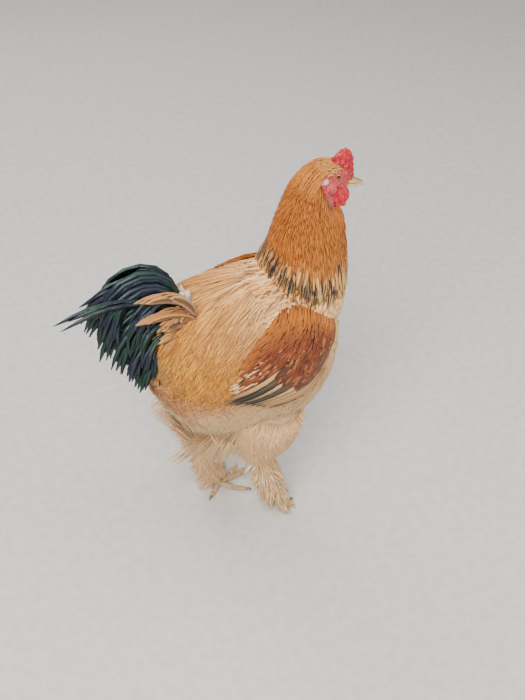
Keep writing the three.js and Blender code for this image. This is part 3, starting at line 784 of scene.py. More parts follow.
class COCK_OT_head(bpy.types.Operator):
    """Makes the bare red head with its brow, lids, cheeks and folds"""

    bl_idname = "cock.head"
    bl_label = "Head"

    def execute(self, context):
        parts = [raw_tube("skull", head, 40, 48)]
        for hand in (LEFT, RIGHT):
            parts.append(lump(-1, hand * 14.5, 12.5, (11, 4, 3.4), (hand * 18, 8, hand * -6)))
            parts.append(lump(2.5, hand * 13.2, 7.5, (8.6, 4.6, 7)))
            parts.append(lump(-6, hand * 15, -5, (12, 4.5, 7.5), (0, 18, 0)))
            parts.append(lump(10, hand * 10.5, -8, (9, 4.5, 5), (0, 24, 0)))
            parts.append(lump(-17, hand * 19.5, -9, (4.4, 3.6, 8), (hand * -6, -26, 0)))
            parts.append(lump(-12, hand * 20, -18, (4, 3.4, 9), (hand * 2, -30, 0)))
            parts.append(lump(-4, hand * 17, -14, (9, 4.5, 9), (0, -20, 0)))
            parts.append(lump(15, hand * 8, -7, (9, 4.5, 6), (0, 14, 0)))
            parts.append(lump(19, hand * 5.5, -1.5, (7, 4, 4.5), (0, 20, 0)))
        for k in range(4):
            parts.append(lump(14 - 5 * k, 0, -17 - 1.2 * k, (6, 8.5 - k, 5)))
        piece = fuse("head_skin", parts, 0.85, 7)
        self.sockets(piece.data)
        settle(piece)
        red, deep, pale = linear(214, 84, 82), linear(150, 34, 40), linear(232, 150, 140)
        dress(piece, flesh_finish("face", red, deep, 0.0011, 420, 0.45, pale), ("head",))
        return {"FINISHED"}

    def sockets(self, mesh):
        """Opens a hollow for each eyeball, with a raised lid round it."""
        lid, hollow_edge = 5.2, 4.4
        for hand in (LEFT, RIGHT):
            points = points_of(mesh)
            away = points - np.array(in_head(3, hand * 17.4, 8))
            outwards = away @ np.array(HEAD_SIDE)
            flat = away - np.outer(outwards, HEAD_SIDE)
            reach = np.linalg.norm(flat / np.array([1.0, 1.0, 0.86]), axis=1)
            near = (np.linalg.norm(away, axis=1) < 9) & (np.sign(outwards) * hand > -0.9) & (reach < 7.5)
            rim = np.exp(-((reach - lid) / 0.9) ** 2) * 0.9
            hollow = np.clip((hollow_edge - reach) / 1.2, 0, 1) * -5.0
            points[near] += np.outer((rim + hollow)[near] * hand, HEAD_SIDE)
            mesh.vertices.foreach_set("co", points.ravel())
            mesh.update()


# Rows of the comb's peas in the head's own axes: x, z and size of a pea
COMB_RIDGE = [
    [-1, 26, 5.5], [3, 29, 8], [9, 32, 10], [15, 32, 10.5], [20, 26, 10], [24, 17, 8.5], [28, 8, 6.5],
    [31, 1, 4.5],
]
COMB_SIDE = [[-3, 21, 5.5], [4, 22.5, 6.6], [12, 20, 7], [19, 12, 6.4], [24, 5, 5.4], [28, -1, 4]]


class COCK_OT_comb(bpy.types.Operator):
    """Makes the pea comb, the wattles and the ear lobes"""

    bl_idname = "cock.comb"
    bl_label = "Comb and wattles"

    def execute(self, context):
        chance = np.random.RandomState(5)
        peas = []
        for x, z, size in self.spaced(COMB_RIDGE, 9):
            off = 0.6 * chance.uniform(-1, 1)
            tall = size * chance.uniform(0.95, 1.1)
            peas.append(lump(x, off, z, (size * 0.62, size * 0.5, tall), (0, 22, 0), 20))
            peas.append(lump(x, 0, z + size * 0.72, (size * 0.34, size * 0.32, size * 0.42), (0, 20, 0), 16))
            peas.append(lump(x - 1, 0, z - size * 0.7, (size * 0.7, size * 0.42, size * 0.9), (0, 20, 0), 16))
        for hand in (LEFT, RIGHT):
            for x, z, size in self.spaced(COMB_SIDE, 7):
                off = hand * (6.3 + 0.4 * chance.uniform(-1, 1))
                tall = size * chance.uniform(0.8, 1.0)
                peas.append(lump(x, off, z, (size * 0.52, size * 0.5, tall), (hand * -14, 20, 0), 16))
        comb = settle(fuse("comb_flesh", peas, 0.7, 5))
        red = flesh_finish("comb_red", linear(206, 34, 46), linear(134, 12, 26), 0.0008, 440, 0.4)
        smooth_red = flesh_finish("wattle_red", linear(210, 38, 52), linear(160, 20, 34), 0.0004, 260, 0.42)
        dress(comb, red, ("comb",))
        for side, hand in HANDS.items():
            wattle = self.wattle(hand)
            wattle.name = "wattle_" + side + "_flesh"
            settle(wattle)
            dress(wattle, smooth_red, ("wattle_" + side,))
            white, blush = linear(244, 214, 202), linear(222, 150, 138)
            pale = flesh_finish("lobe_" + side, white, blush, 0.0006, 300, 0.5)
            lobes = [lump(-17.5, hand * 19.2, 1.0, (7.4, 3.4, 5.4), (hand * -4, 14, 0), 40),
                     lump(-20.5, hand * 19.2, -2.2, (4.4, 3, 4.6), (0, -20, 0), 32)]
            lobe = settle(fuse("ear_lobe_" + side + "_flesh", lobes, 0.7, 3))
            dress(lobe, pale, ("ear_lobe_" + side,))
        return {"FINISHED"}

    def spaced(self, stations, many):
        """Rows at even steps along a smooth line."""
        line = smooth_line(stations, 100)
        return [line[int(99 * k / (many - 1))] for k in range(many)]

    def wattle(self, hand):
        """A thin hanging lobe with soft waves in it."""
        form = Form([
            in_head(20, hand * 5.5, -13) + [4.2, 9, 9], in_head(16.5, hand * 8.5, -24) + [3.4, 13.5, 12.5],
            in_head(13, hand * 10.2, -36) + [3.0, 14, 12.5], in_head(10, hand * 10.8, -46) + [2.6, 10, 9],
        ], side=HEAD_SIDE, domes=(0.2, 0.34))
        piece = raw_tube("wattle", form, 60, 56)
        for vertex in piece.data.vertices:
            local = HEAD.inverted() @ vertex.co
            long_wave, short_wave = local.z * 0.33 + local.x * 0.5, local.x * 0.9 - local.z * 0.2
            sway = 1.1 * math.sin(long_wave) + 0.7 * math.sin(short_wave)
            vertex.co += Vector(HEAD_SIDE) * sway * min(1.0, max(0.0, (-14 - local.z) / 12))
        return piece


class COCK_OT_beak(bpy.types.Operator):
    """Makes the horn beak with its culmen, nostrils and mouth line, and the eyes"""

    bl_idname = "cock.beak"
    bl_label = "Beak and eyes"

    def execute(self, context):
        upper = Form(
            [
                in_head(15, 0, -5.6) + [6.8, 8, 5.4], in_head(24, 0, -6.4) + [6.6, 7, 4.8],
                in_head(33, 0, -7.4) + [5.8, 5.6, 3.8], in_head(42, 0, -9.6) + [4.4, 4.4, 3.0],
                in_head(47.5, 0, -12) + [3, 3.6, 2.2], in_head(50.2, 0, -15.6) + [1.2, 1.6, 1.2],
            ],
            side=HEAD_SIDE, domes=(0.05, 0.12)
        )
        lower = Form(
            [
                in_head(15, 0, -13) + [6.8, 3.6, 5], in_head(27, 0, -13.4) + [6, 3, 3.8],
                in_head(37, 0, -14.2) + [4.4, 2.4, 2.6], in_head(44, 0, -15.4) + [2, 1.2, 1.4],
            ],
            side=HEAD_SIDE, domes=(0.05, 0.15)
        )
        horn = Finish("beak_horn")
        along_beak = {"Vector": horn.place(), "Rotation": (0, PITCH + 0.25, YAW), "Scale": (90, 700, 700)}
        streak = horn.node("ShaderNodeMapping", {}, along_beak)[0]
        grain = horn.node("ShaderNodeTexNoise", {}, {"Vector": streak, "Scale": 1.0, "Detail": 3.0})[0]
        colour = horn.colour_mix(grain.over(0.35, 0.8) * 0.4, horn.attribute("tint"), linear(176, 128, 60))
        horn.bump(grain, 0.2, 0.0004)
        horn.set(colour=colour, rough=0.36 + grain * 0.1, coat=0.2, coat_rough=0.25)
        for node, form in (("beak_upper", upper), ("beak_lower", lower)):
            piece = raw_tube(node + "_horn", form, 56, 48)
            dark = self.nostrils(piece.data) if node == "beak_upper" else np.zeros(len(piece.data.vertices))
            settle(piece)
            dress(piece, horn.material, (node,))
            paint(piece, blend(linear(216, 184, 122), linear(84, 56, 34), dark ** 0.6 * 0.9))
        self.eyes()
        return {"FINISHED"}

    def nostrils(self, mesh):
        """Sinks a slit with a raised rim into each side. Gives back how dark the culmen is at each point."""
        dark = []
        for vertex in mesh.vertices:
            local = HEAD.inverted() @ vertex.co
            slot = math.hypot((local.x - 27.5) / 3.2, (local.z + 3.4 - (local.x - 27.5) * -0.25) / 1.25)
            if slot < 1.6 and abs(local.y) > 2:
                rise = -2.4 * max(0.0, 1 - slot) + 0.7 * math.exp(-((slot - 1.15) / 0.25) ** 2)
                vertex.co += Vector(HEAD_SIDE) * rise * math.copysign(1, local.y)
            culmen = max(0.0, 1 - abs(local.y) / 5.6) * min(1.0, max(0.0, (local.x - 16) / 8))
            dark.append(culmen if local.z > -9 else 0.0)
        return np.array(dark)

    def eyes(self):
        """Wet eyeballs, each with a black pupil, an orange iris and a dark rim."""
        radius = 4.7
        ball = Finish("eye_wet")
        ring, flecks = ball.attribute("tint"), ball.noise(1500, 2.0)
        colour = ball.colour_mix(flecks.over(0.4, 0.7) * 0.25, ring, linear(120, 60, 20))
        ball.set(colour=colour, rough=0.14, coat=0.6, coat_rough=0.04, specular=0.4)
        for side, hand in HANDS.items():
            eye = lump(3, hand * 15.2, 8, (radius, radius, radius), (0, 0, 0), 64)
            eye.name = "eye_" + side + "_ball"
            settle(eye)
            dress(eye, ball.material, ("eye_" + side,))
            local = head_local(bird_points(eye))
            off = np.hypot(local[:, 0] - 3, local[:, 2] - 8)[:, None] / radius
            rings = np.where(off < 0.62, linear(80, 36, 14), linear(188, 112, 52))
            rings = np.where(off < 0.55, linear(4, 3, 3), rings)
            paint(eye, np.where(off > 0.86, linear(120, 50, 30), rings))


def rim_share(turn):
    """Where the hackle's fringe ends, as a share of the neck: lowest at the sides, highest behind."""
    return 0.2 + 0.07 * np.clip(-np.sin(turn), 0, 1) + 0.1 * np.clip(np.sin(turn), 0, 1) ** 2


def bare_face(p):
    """True at places of the bare red face, in the bird's own millimetres."""
    local = head_local(p)
    x, z = local[..., 0], local[..., 2]
    back = -23 + 0.62 * np.maximum(0, -z - 4)
    top = np.where(x > -14, 12.5 + 0.12 * x, 8.0)
    return (x > back) & (z > -36) & (z < top)


class COCK_OT_hackle(bpy.types.Operator):
    """Lays the hackle: small feathers on the crown, long ones down the neck, and a fringe with dark hearts"""

    bl_idname = "cock.hackle"
    bl_label = "Hackle"

    def execute(self, context):
        chance, own = np.random.RandomState(11), settings()
        vane = feather_finish("hackle_vane", 0.42, 0.1, 0.8)
        self.upper(chance, own, vane)
        self.fringe(chance, own, vane)
        self.crown(chance, own, vane)
        return {"FINISHED"}

    def upper(self, chance, own, vane):
        """Long pointed feathers in staggered rows, which get longer down the neck."""
        coat = Feathers()
        s, turn = rows_on(neck, 0.22, 0.99, 3.5 / own.density, 2.7 / own.density, chance)
        root = neck(s, turn)
        keep = ~bare_face(root) & (s > rim_share(turn) + 0.05)
        s, turn, root = s[keep], turn[keep], root[keep]
        n = len(s)
        reach = np.clip((640 - root[:, 2]) / 150, 0, 1)
        length = (0.22 + 0.78 * reach) * own.hackle_length * 1000 * chance.uniform(0.82, 1.12, n)
        length = np.minimum(length, (s - rim_share(turn)) * NECK_LONG + chance.uniform(-4, 9, n))
        aim = np.stack([np.full(n, -1.0), 0.24 * chance.normal(0, 1, n)], -1)
        tilt = chance.uniform(0, 1, n)
        lifts = (-5.5, -1.5 + tilt, 0.5 + 2.0 * tilt, 1.4 + 3.2 * tilt)
        paths, normals = paths_on(neck, s, turn, aim, length, lifts, 5, 0.12 * chance.normal(0, 1, n))
        tint, low = hackle_tint(paths[:, -1, 2], chance)
        tint = blend(tint, np.array(own.hackle_colour), (1 - low) * 0.3)
        width = (2.4 + 3.0 * reach) * chance.uniform(0.85, 1.15, n)
        stripe = np.clip(low * 1.6, 0, 1) * (chance.uniform(0, 1, n) < 0.2 + 0.5 * low)
        coat.add(
            paths, normals, width_of(width, "hackle"), tint, blend(RUST, BLACK, low), stripe,
            patch_at(1, s, turn), 0.25, blend(tint, GOLD, 0.3)
        )
        coat.build("hackle", vane, "hackle", ("neck",))

    def fringe(self, chance, own, vane):
        """The last tiers hang over shoulders and breast, each feather black along its middle."""
        coat = Feathers()
        for tier, (above, many, wide) in enumerate(((0.19, 150, 6.4), (0.15, 145, 7.0), (0.11, 140, 7.4))):
            places = np.arange(many) + 0.5 * (tier % 2) + 0.5 * chance.uniform(-1, 1, many)
            turns = places / many * 2 * np.pi
            waves = np.sin(5 * turns + tier) * np.sin(3 * turns + 1)
            s = rim_share(turns) + above + 0.02 * waves + 0.02 * chance.normal(0, 1, many)
            aim = np.stack([np.full(many, -1.0), 0.3 * chance.normal(0, 1, many)], -1)
            length = (above * NECK_LONG + 4 - 3 * tier) * chance.uniform(0.72, 1.18, many) + 3
            tilt = chance.uniform(0, 1, many)
            lifts = (-3.5, 1.0 + tilt, 3.0 + tilt, 3.6 + 1.6 * tilt, 3.4 + 2.4 * tilt)
            paths, normals = paths_on(neck, s, turns, aim, length, lifts, 7, 0.2 * chance.normal(0, 1, many))
            tint, low = hackle_tint(paths[:, -1, 2], chance)
            dark = chance.uniform(0, 1, many) > 0.3 + 0.45 * np.clip(-np.sin(turns) * 1.3, 0, 1)
            coat.add(
                paths, normals, width_of(wide * chance.uniform(0.85, 1.15, many), "hackle", 7), tint, BLACK,
                dark, patch_at(1, s, turns), 0.3, blend(tint, STRAW, 0.5)
            )
        coat.build("hackle_fringe", vane, "hackle", ("neck",))

    def crown(self, chance, own, vane):
        """Small feathers from the comb's foot over crown and nape."""
        coat = Feathers()
        s, turn = rows_on(head, 0.01, 0.8, 2.0 / own.density, 1.8 / own.density, chance)
        root = head(s, turn)
        keep = ~bare_face(root) & (root[:, 2] > 596)
        x, off, z = np.moveaxis(head_local(root), -1, 0)
        under_comb = (x > 0) & (np.abs(off) < 7)
        keep &= ~under_comb & (x < 12) & ((z > 6) | (x < -20))
        s, turn, x = s[keep], turn[keep], x[keep]
        n = len(s)
        length = np.clip(8 + 0.55 * np.maximum(0, 6 - x), 8, 30) * chance.uniform(0.8, 1.15, n)
        sink = down_side(turn) * np.clip(1.4 - np.abs(np.sin(turn)), 0.1, 1)
        aim = np.stack([np.full(n, -0.016), 0.018 * sink + 0.006 * chance.normal(0, 1, n)], -1)
        tilt = chance.uniform(0, 1, n)
        paths, normals = paths_on(
            head, s, turn, aim, length, (-1.5, 0.8 + tilt, 2.0 + 1.8 * tilt), 4,
            0.15 * chance.normal(0, 1, n)
        )
        # Behind the skull they run on down the nape.
        past = np.maximum(0, length[:, None] * np.linspace(0, 1, 4)[None] - (s * HEAD_LONG)[:, None])
        paths[..., 0] -= past * 0.66
        paths[..., 2] -= past * 0.62
        tint = blend(AMBER, GOLD, chance.uniform(0.1, 0.7, n))
        tint = blend(tint, STRAW, np.clip((x + 22) / 60, 0, 0.4)) * chance.uniform(0.85, 1.1, (n, 1))
        coat.add(
            paths, normals, width_of(chance.uniform(1.8, 2.8, n), "body"), tint, RUST, 0,
            patch_at(2, s, turn), 0.2, tint * 1.1
        )
        self.bridge(coat, chance)
        coat.build("crown_feathers", vane, "hackle", ("neck", "head"))

    def bridge(self, coat, chance):
        """Longer feathers that run from the crown to the neck."""
        n = 420
        turn = np.pi / 2 + 1.25 * chance.uniform(-1, 1, n)
        a = head(chance.uniform(0.1, 0.42, n), turn, 0.5)
        c = neck(chance.uniform(0.8, 0.93, n), turn, 1.5 + 1.5 * chance.uniform(0, 1, n))
        middle = np.array(in_head(-27, 0, -8))
        b = (a + c) / 2
        b = b + unit(b - middle) * 9
        t = np.linspace(0, 1, 6)[None, :, None]
        paths = a[:, None] * (1 - t) ** 2 + b[:, None] * 2 * t * (1 - t) + c[:, None] * t**2
        lobe = np.array([in_head(-17, hand * 19, 0) for hand in (LEFT, RIGHT)])
        near = np.linalg.norm(paths[:, :, None] - lobe, axis=-1).min((1, 2)) < 11
        clear = ~near & ~bare_face(paths).any(1)
        paths, turn, n = paths[clear], turn[clear], int(clear.sum())
        tint = blend(AMBER, GOLD, chance.uniform(0.1, 0.8, n)) * chance.uniform(0.85, 1.1, (n, 1))
        coat.add(
            paths, unit(paths - middle), width_of(chance.uniform(2.4, 3.6, n), "hackle", 6), tint, RUST, 0,
            patch_at(2, 0.2, turn), 0.2, blend(tint, GOLD, 0.3)
        )


def under_wing(p):
    """True where a root lies under a folded wing."""
    u, v = wing_share(p[..., 0], p[..., 2])
    inside = (p[..., 0] < WING_FRONT - 12) & (p[..., 0] > WING_TIP + 22) & (v > 0.12) & (v < 0.86)
    return inside & (np.abs(p[..., 1]) > 40)


class COCK_OT_body_coat(bpy.types.Operator):
    """Lays the body feathers: broad on the breast, long over the saddle, soft on belly and rump"""

    bl_idname = "cock.body_coat"
    bl_label = "Body feathers"

    def execute(self, context):
        chance, own = np.random.RandomState(17), settings()
        self.saddle(chance, own)
        self.breast(chance, own)
        self.belly(chance, own)
        return {"FINISHED"}

    def roots(self, pace, spacing, chance, turns=(0, 2 * math.pi)):
        """Rows over the torso, without the places under the wings and the hackle."""
        s, turn = rows_on(torso, 0.02, 0.985, pace, spacing, chance, turns)
        root = torso(s, turn)
        bare = under_wing(root) | ((root[:, 0] > 66) & (root[:, 2] > 456))
        return s[~bare], turn[~bare], root[~bare]

    def saddle(self, chance, own):
        """Long narrow golden feathers that fall from the back over the flanks and the rump."""
        coat = Feathers()
        s, turn, root = self.roots(3.95 / own.density, 3.4 / own.density, chance, (-0.6, math.pi + 0.6))
        edge = 18 * chance.uniform(-1, 1, len(s))
        keep = (root[:, 0] < 34 + edge) & (root[:, 2] > 370 + 0.5 * edge)
        s, turn, root = s[keep], turn[keep], root[keep]
        n = len(s)
        length = own.saddle_length * 1000 * chance.uniform(0.75, 1.15, n)
        length = np.minimum(length, 26 + np.maximum(0, root[:, 0] + 176) * 1.3)
        length = np.minimum(length, np.maximum(16, (root[:, 2] - 334) * 1.05 + 12 * chance.uniform(-1, 1, n)))
        slope = np.abs(np.cos(turn))
        sink = down_side(turn) * (0.0055 + 0.0125 * slope) * np.clip(slope * 6, 0.1, 1)
        aim = np.stack([np.full(n, -0.0035), sink + 0.0009 * chance.normal(0, 1, n)], -1)
        tilt = 2.0 * chance.uniform(0, 1, n)
        paths, normals = paths_on(
            torso, s, turn, aim, length, (-4.5, 0.8 + 0.8 * tilt, 2.2 + 1.2 * tilt, 2.8 + 1.6 * tilt), 6,
            0.08 * chance.normal(0, 1, n)
        )
        low, rear = np.clip((455 - root[:, 2]) / 70, 0, 1), np.clip((-50 - root[:, 0]) / 50, 0, 1)
        golden = (0.4 + 0.5 * np.maximum(low, 0.6 * rear)) * np.clip((44 - root[:, 0]) / 60, 0, 1)
        tint = blend(body_tint(root, chance), SADDLE_GOLD, golden)
        # Painted shade: random rear saddle feathers are darkened towards dusk brown under the tail.
        tint = blend(tint, DUSK, (chance.uniform(0, 1, n) > 0.66) * np.clip((-106 - root[:, 0]) / 40, 0, 0.8))
        brown = np.clip((-112 - root[:, 0]) / 40, 0, 0.7) * chance.uniform(0.1, 1, n)
        tint = blend(tint, blend(DUSK, TAN, 0.6), brown)
        tint = tint * (1.12 - 0.42 * chance.uniform(0, 1, (n, 1)) ** 2)
        stripe = (chance.uniform(0, 1, n) < 0.35) * 0.6
        coat.add(
            paths, normals, width_of(3.9 * chance.uniform(0.8, 1.25, n), "hackle", 6), tint, RUST, stripe,
            patch_at(0, s, turn), 0.25, blend(tint, SADDLE_GOLD, 0.2)
        )
        coat.build("saddle_coat", feather_finish("saddle_vane", 0.44, 0.08, 0.8), "body_feather", ("torso",))

    def breast(self, chance, own):
        """Broad pale feathers over the breast, the shoulders and the foot of the neck."""
        coat = Feathers()
        s, turn, root = self.roots(4.8 / own.density, 4.2 / own.density, chance)
        keep = (root[:, 0] > 12) & (root[:, 2] > 292) & (s < 0.965)
        s, turn, root = s[keep], turn[keep], root[keep]
        foot_s, foot_turn = rows_on(neck, 0.02, 0.36, 4.6 / own.density, 4.2 / own.density, chance)
        keep = foot_s < rim_share(foot_turn) + 0.06
        foot_s, foot_turn = foot_s[keep], foot_turn[keep]
        for form, column, share, turns, size in (
            (torso, 0, s, turn, TORSO_LONG), (neck, 3, foot_s, foot_turn, NECK_LONG)
        ):
            n = len(share)
            start = form(share, turns)
            length = 25 * chance.uniform(0.8, 1.15, n)
            length = np.minimum(length, share * size + 5)
            down = down_side(turns) * 0.0026 * (form is torso) * (np.sin(turns) > -0.3)
            aim = np.stack([np.full(n, -0.0035), down + 0.0012 * chance.normal(0, 1, n)], -1)
            tilt = 2.4 * chance.uniform(0, 1, n)
            paths, normals = paths_on(
                form, share, turns, aim, length, (-4.0, 1.0 + 0.8 * tilt, 2.0 + 1.2 * tilt), 4,
                0.1 * chance.normal(0, 1, n)
            )
            high = np.clip((start[:, 2] - 430) / 40, 0, 1) * np.clip((95 - start[:, 0]) / 40, 0, 1)
            tint = blend(body_tint(start, chance), GOLD, high * chance.uniform(0.1, 0.7, n))
            fleck = (chance.uniform(0, 1, n) > 0.9 - 0.16 * high) * 0.8 * (start[:, 0] < 90)
            coat.add(
                paths, normals, width_of(10 * chance.uniform(0.85, 1.15, n), "body"), tint, BLACK, fleck,
                patch_at(column, share, turns), 0.3, tint * 1.1
            )
        self.end_feathers(coat, chance, 1, 48, (326, 430), 430)
        self.end_feathers(coat, chance, -1, 26, (334, 386), 150)
        coat.build(
            "breast_coat", feather_finish("breast_vane", 0.6, 0.15, 0.5, 0.24), "body_feather",
            ("torso", "neck")
        )

    def end_feathers(self, coat, chance, way, across, heights, n):
        """Feathers that hang over the front (way 1) or rear (way -1) of the body, where its rows meet."""
        share, turn = np.meshgrid(np.linspace(0.5, 1, 70), np.linspace(0, 2 * math.pi, 90))
        skin = torso((share if way > 0 else 1 - share).ravel(), turn.ravel())

        def depth(y, z):
            near = np.exp(-((y[..., None] - skin[:, 1]) ** 2 + (z[..., None] - skin[:, 2]) ** 2) / 14) + 1e-12
            return (near * skin[:, 0]).sum(-1) / near.sum(-1)

        t = np.linspace(0, 1, 4)[None]
        y = across * chance.uniform(-1, 1, (n, 1)) * (1 + 0.12 * t)
        z = chance.uniform(heights[0], heights[1], (n, 1)) - 25 * t
        slope_y, slope_z = (depth(y + 2, z) - depth(y - 2, z)) / 4, (depth(y, z + 2) - depth(y, z - 2)) / 4
        normals = way * unit(np.stack([np.ones(y.shape), -slope_y, -slope_z], -1))
        lift = -3.5 + (6 + chance.uniform(0, 2.2, (n, 1))) * t
        paths = np.stack([depth(y, z), y, z], -1) + normals * lift[..., None]
        tint = body_tint(paths[:, 0], chance)
        patch = patch_at(0, 0.99 if way > 0 else 0.01, y[:, 0] / 8)
        coat.add(
            paths, normals, width_of(9.5 * chance.uniform(0.8, 1.15, n), "body"), tint, BLACK, 0, patch,
            0.3, tint * 1.1
        )

    def belly(self, chance, own):
        """Soft fluff under the body and round the rump."""
        coat = Feathers()
        s, turn, root = self.roots(
            3.5 / own.density, 3.3 / own.density, chance, (math.pi * 0.9, math.pi * 2.1)
        )
        ragged = 14 * chance.uniform(-1, 1, len(s))
        keep = (root[:, 2] < 370 + ragged) | ((root[:, 0] < -150) & (root[:, 2] < 400))
        s, turn, root = s[keep], turn[keep], root[keep]
        n = len(s)
        length = own.fluff_length * 1000 * chance.uniform(0.8, 1.5, n)
        length = np.minimum(length, 17 + np.maximum(0, root[:, 0] + 176) * 0.9)
        skirt = (root[:, 2] < 250) & (root[:, 0] < 26) & (root[:, 0] > -84)
        length = np.where(skirt, length * 2.0, length)
        sink = down_side(turn) * np.abs(np.cos(turn))
        aim = np.stack([np.full(n, -0.003), 0.006 * sink + 0.004 * chance.normal(0, 1, n)], -1)
        tilt = chance.uniform(0, 1, n)
        paths, normals = paths_on(
            torso, s, turn, aim, length, (-4.0, 1.5 + 2 * tilt, 3.5 + 4.5 * tilt), 4,
            0.4 * chance.normal(0, 1, n)
        )
        droop = length * np.where(skirt, 1.05, 0.25 + 0.4 * (root[:, 0] < -130))
        paths[..., 2] -= np.linspace(0, 1, 4)[None] ** 1.5 * droop[:, None]
        tint = body_tint(root, chance)
        coat.add(
            paths, normals, width_of(2.7 * chance.uniform(0.8, 1.3, n), "wisp"), tint, DUSK, 0,
            patch_at(0, s, turn), 0.2, tint * 1.12
        )
        coat.build(
            "belly_fluff", feather_finish("belly_vane", 0.7, 0.2, 0.4, 0.24), "body_feather", ("torso",)
        )


class COCK_OT_leg_fluff(bpy.types.Operator):
    """Lays the fluff on thighs and shanks, and the hock quills behind"""

    bl_idname = "cock.leg_fluff"
    bl_label = "Leg fluff"

    def execute(self, context):
        finish = feather_finish("fluff_vane", 0.66, 0.2, 0.4, 0.24)
        for k, (side, hand) in enumerate(HANDS.items()):
            chance, coat = np.random.RandomState(23 + k), Feathers()
            self.fluff(coat, side, hand, thighs[side], (0.06, 0.95), 32, chance, 4 + 2 * k)
            self.fluff(coat, side, hand, shanks[side], (0.0, 0.97), 30, chance, 5 + 2 * k)
            self.quills(coat, side, hand, chance, 4 + 2 * k)
            coat.build("leg_fluff_" + side, finish, "fluff", ("thigh_" + side, "shank_" + side))
        return {"FINISHED"}

    def fluff(self, coat, side, hand, form, shares, longest, chance, column):
        """Fine loose feathers over a thigh or a shank, longest behind."""
        own = settings()
        s, turn = rows_on(form, *shares, 2.6 / own.density, 2.6 / own.density, chance)
        root = form(s, turn)
        low_inside = (root[:, 2] < 60) & (root[:, 1] * hand < abs(ANKLES[side][1]) - 5)
        hidden = (root[:, 2] > 300) & (np.abs(root[:, 1]) < 70)
        keep = ~(low_inside | hidden) & (root[:, 2] >= 10)
        s, turn, root = s[keep], turn[keep], root[keep]
        n = len(s)
        behind = np.clip((form(s, turn)[:, 0] - form(s, turn + np.pi)[:, 0]) / -30, 0, 1)
        length = longest * chance.uniform(0.7, 1.2, n) * (own.fluff_length / 0.026)
        low = np.clip((70 - root[:, 2]) / 50, 0, 1)
        length = length * (1 + 0.5 * behind) * (1 - 0.25 * low)
        length = np.minimum(length, np.maximum(7, (root[:, 2] - 3) * 0.95))
        aim = np.stack([np.full(n, 0.008), 0.009 * chance.normal(0, 1, n)], -1)
        tilt = 1.5 + 6.5 * chance.uniform(0, 1, n) * (0.6 + 0.7 * behind)
        paths, normals = paths_on(
            form, s, turn, aim, length, (-4.0, 0.6 + tilt * 0.3, 1.0 + tilt), 4,
            0.3 * chance.normal(0, 1, n)
        )
        # Past the end of a form a feather hangs on straight down and back.
        end = np.clip((s - 0.8) / 0.2, 0, 1)[:, None] * np.linspace(0, 1, 4)[None, :] ** 1.5
        paths[..., 2] -= end * length[:, None] * 0.5
        paths[..., 0] -= end * length[:, None] * 0.35
        paths[..., 2] = np.maximum(paths[..., 2], 1.2)
        tint = blend(np.array(own.fluff_colour), PEACH, chance.uniform(0, 0.8, n))
        streak = (chance.uniform(0, 1, n) > 0.8) * np.clip((215 - root[:, 2]) / 70, 0.1, 1)
        tint = blend(tint, TAN, streak * 0.7) * chance.uniform(0.86, 1.08, (n, 1))
        width = chance.uniform(1.6, 2.8, n)
        coat.add(
            paths, normals, width_of(width, "wisp"), tint, TAN, 0, patch_at(column, s, turn), 0.25,
            tint * 1.1
        )

    def quills(self, coat, side, hand, chance, column):
        """Stiff pale feathers that stand out behind the hock."""
        hock = np.array(HOCKS[side], float)
        planted = side == "left"
        n = 64 if planted else 26
        rise = chance.uniform(-14, 40, n)
        spread = chance.uniform(-14, 14, n)
        root = np.stack([hock[0] + 2 + rise * 0.32, hock[1] + spread * 0.7, hock[2] + rise], -1)
        reach = chance.uniform(50, 74, n) if planted else chance.uniform(26, 38, n)
        reach = reach * np.clip(1.0 - np.maximum(rise - 10, 0) / 70, 0.5, 1)
        down = chance.uniform(0.15, 0.4, n) + (0 if planted else 0.5)
        way = unit(np.stack([-np.ones(n), spread * 0.006 - hand * 0.04, -down - rise * 0.004], -1))
        path, t = straight_paths(root, way, reach)
        path[..., 2] -= t**2 * 7
        normals = unit(np.array([-0.3, hand * 0.5, 0.85]))
        tint = blend(CREAM, np.ones(3) * 0.8, 0.35)
        coat.add(
            path, normals, width_of(chance.uniform(5, 8, n), "hackle"), tint, TAN, 0,
            patch_at(column, 0.95, 1.6), 0.3
        )


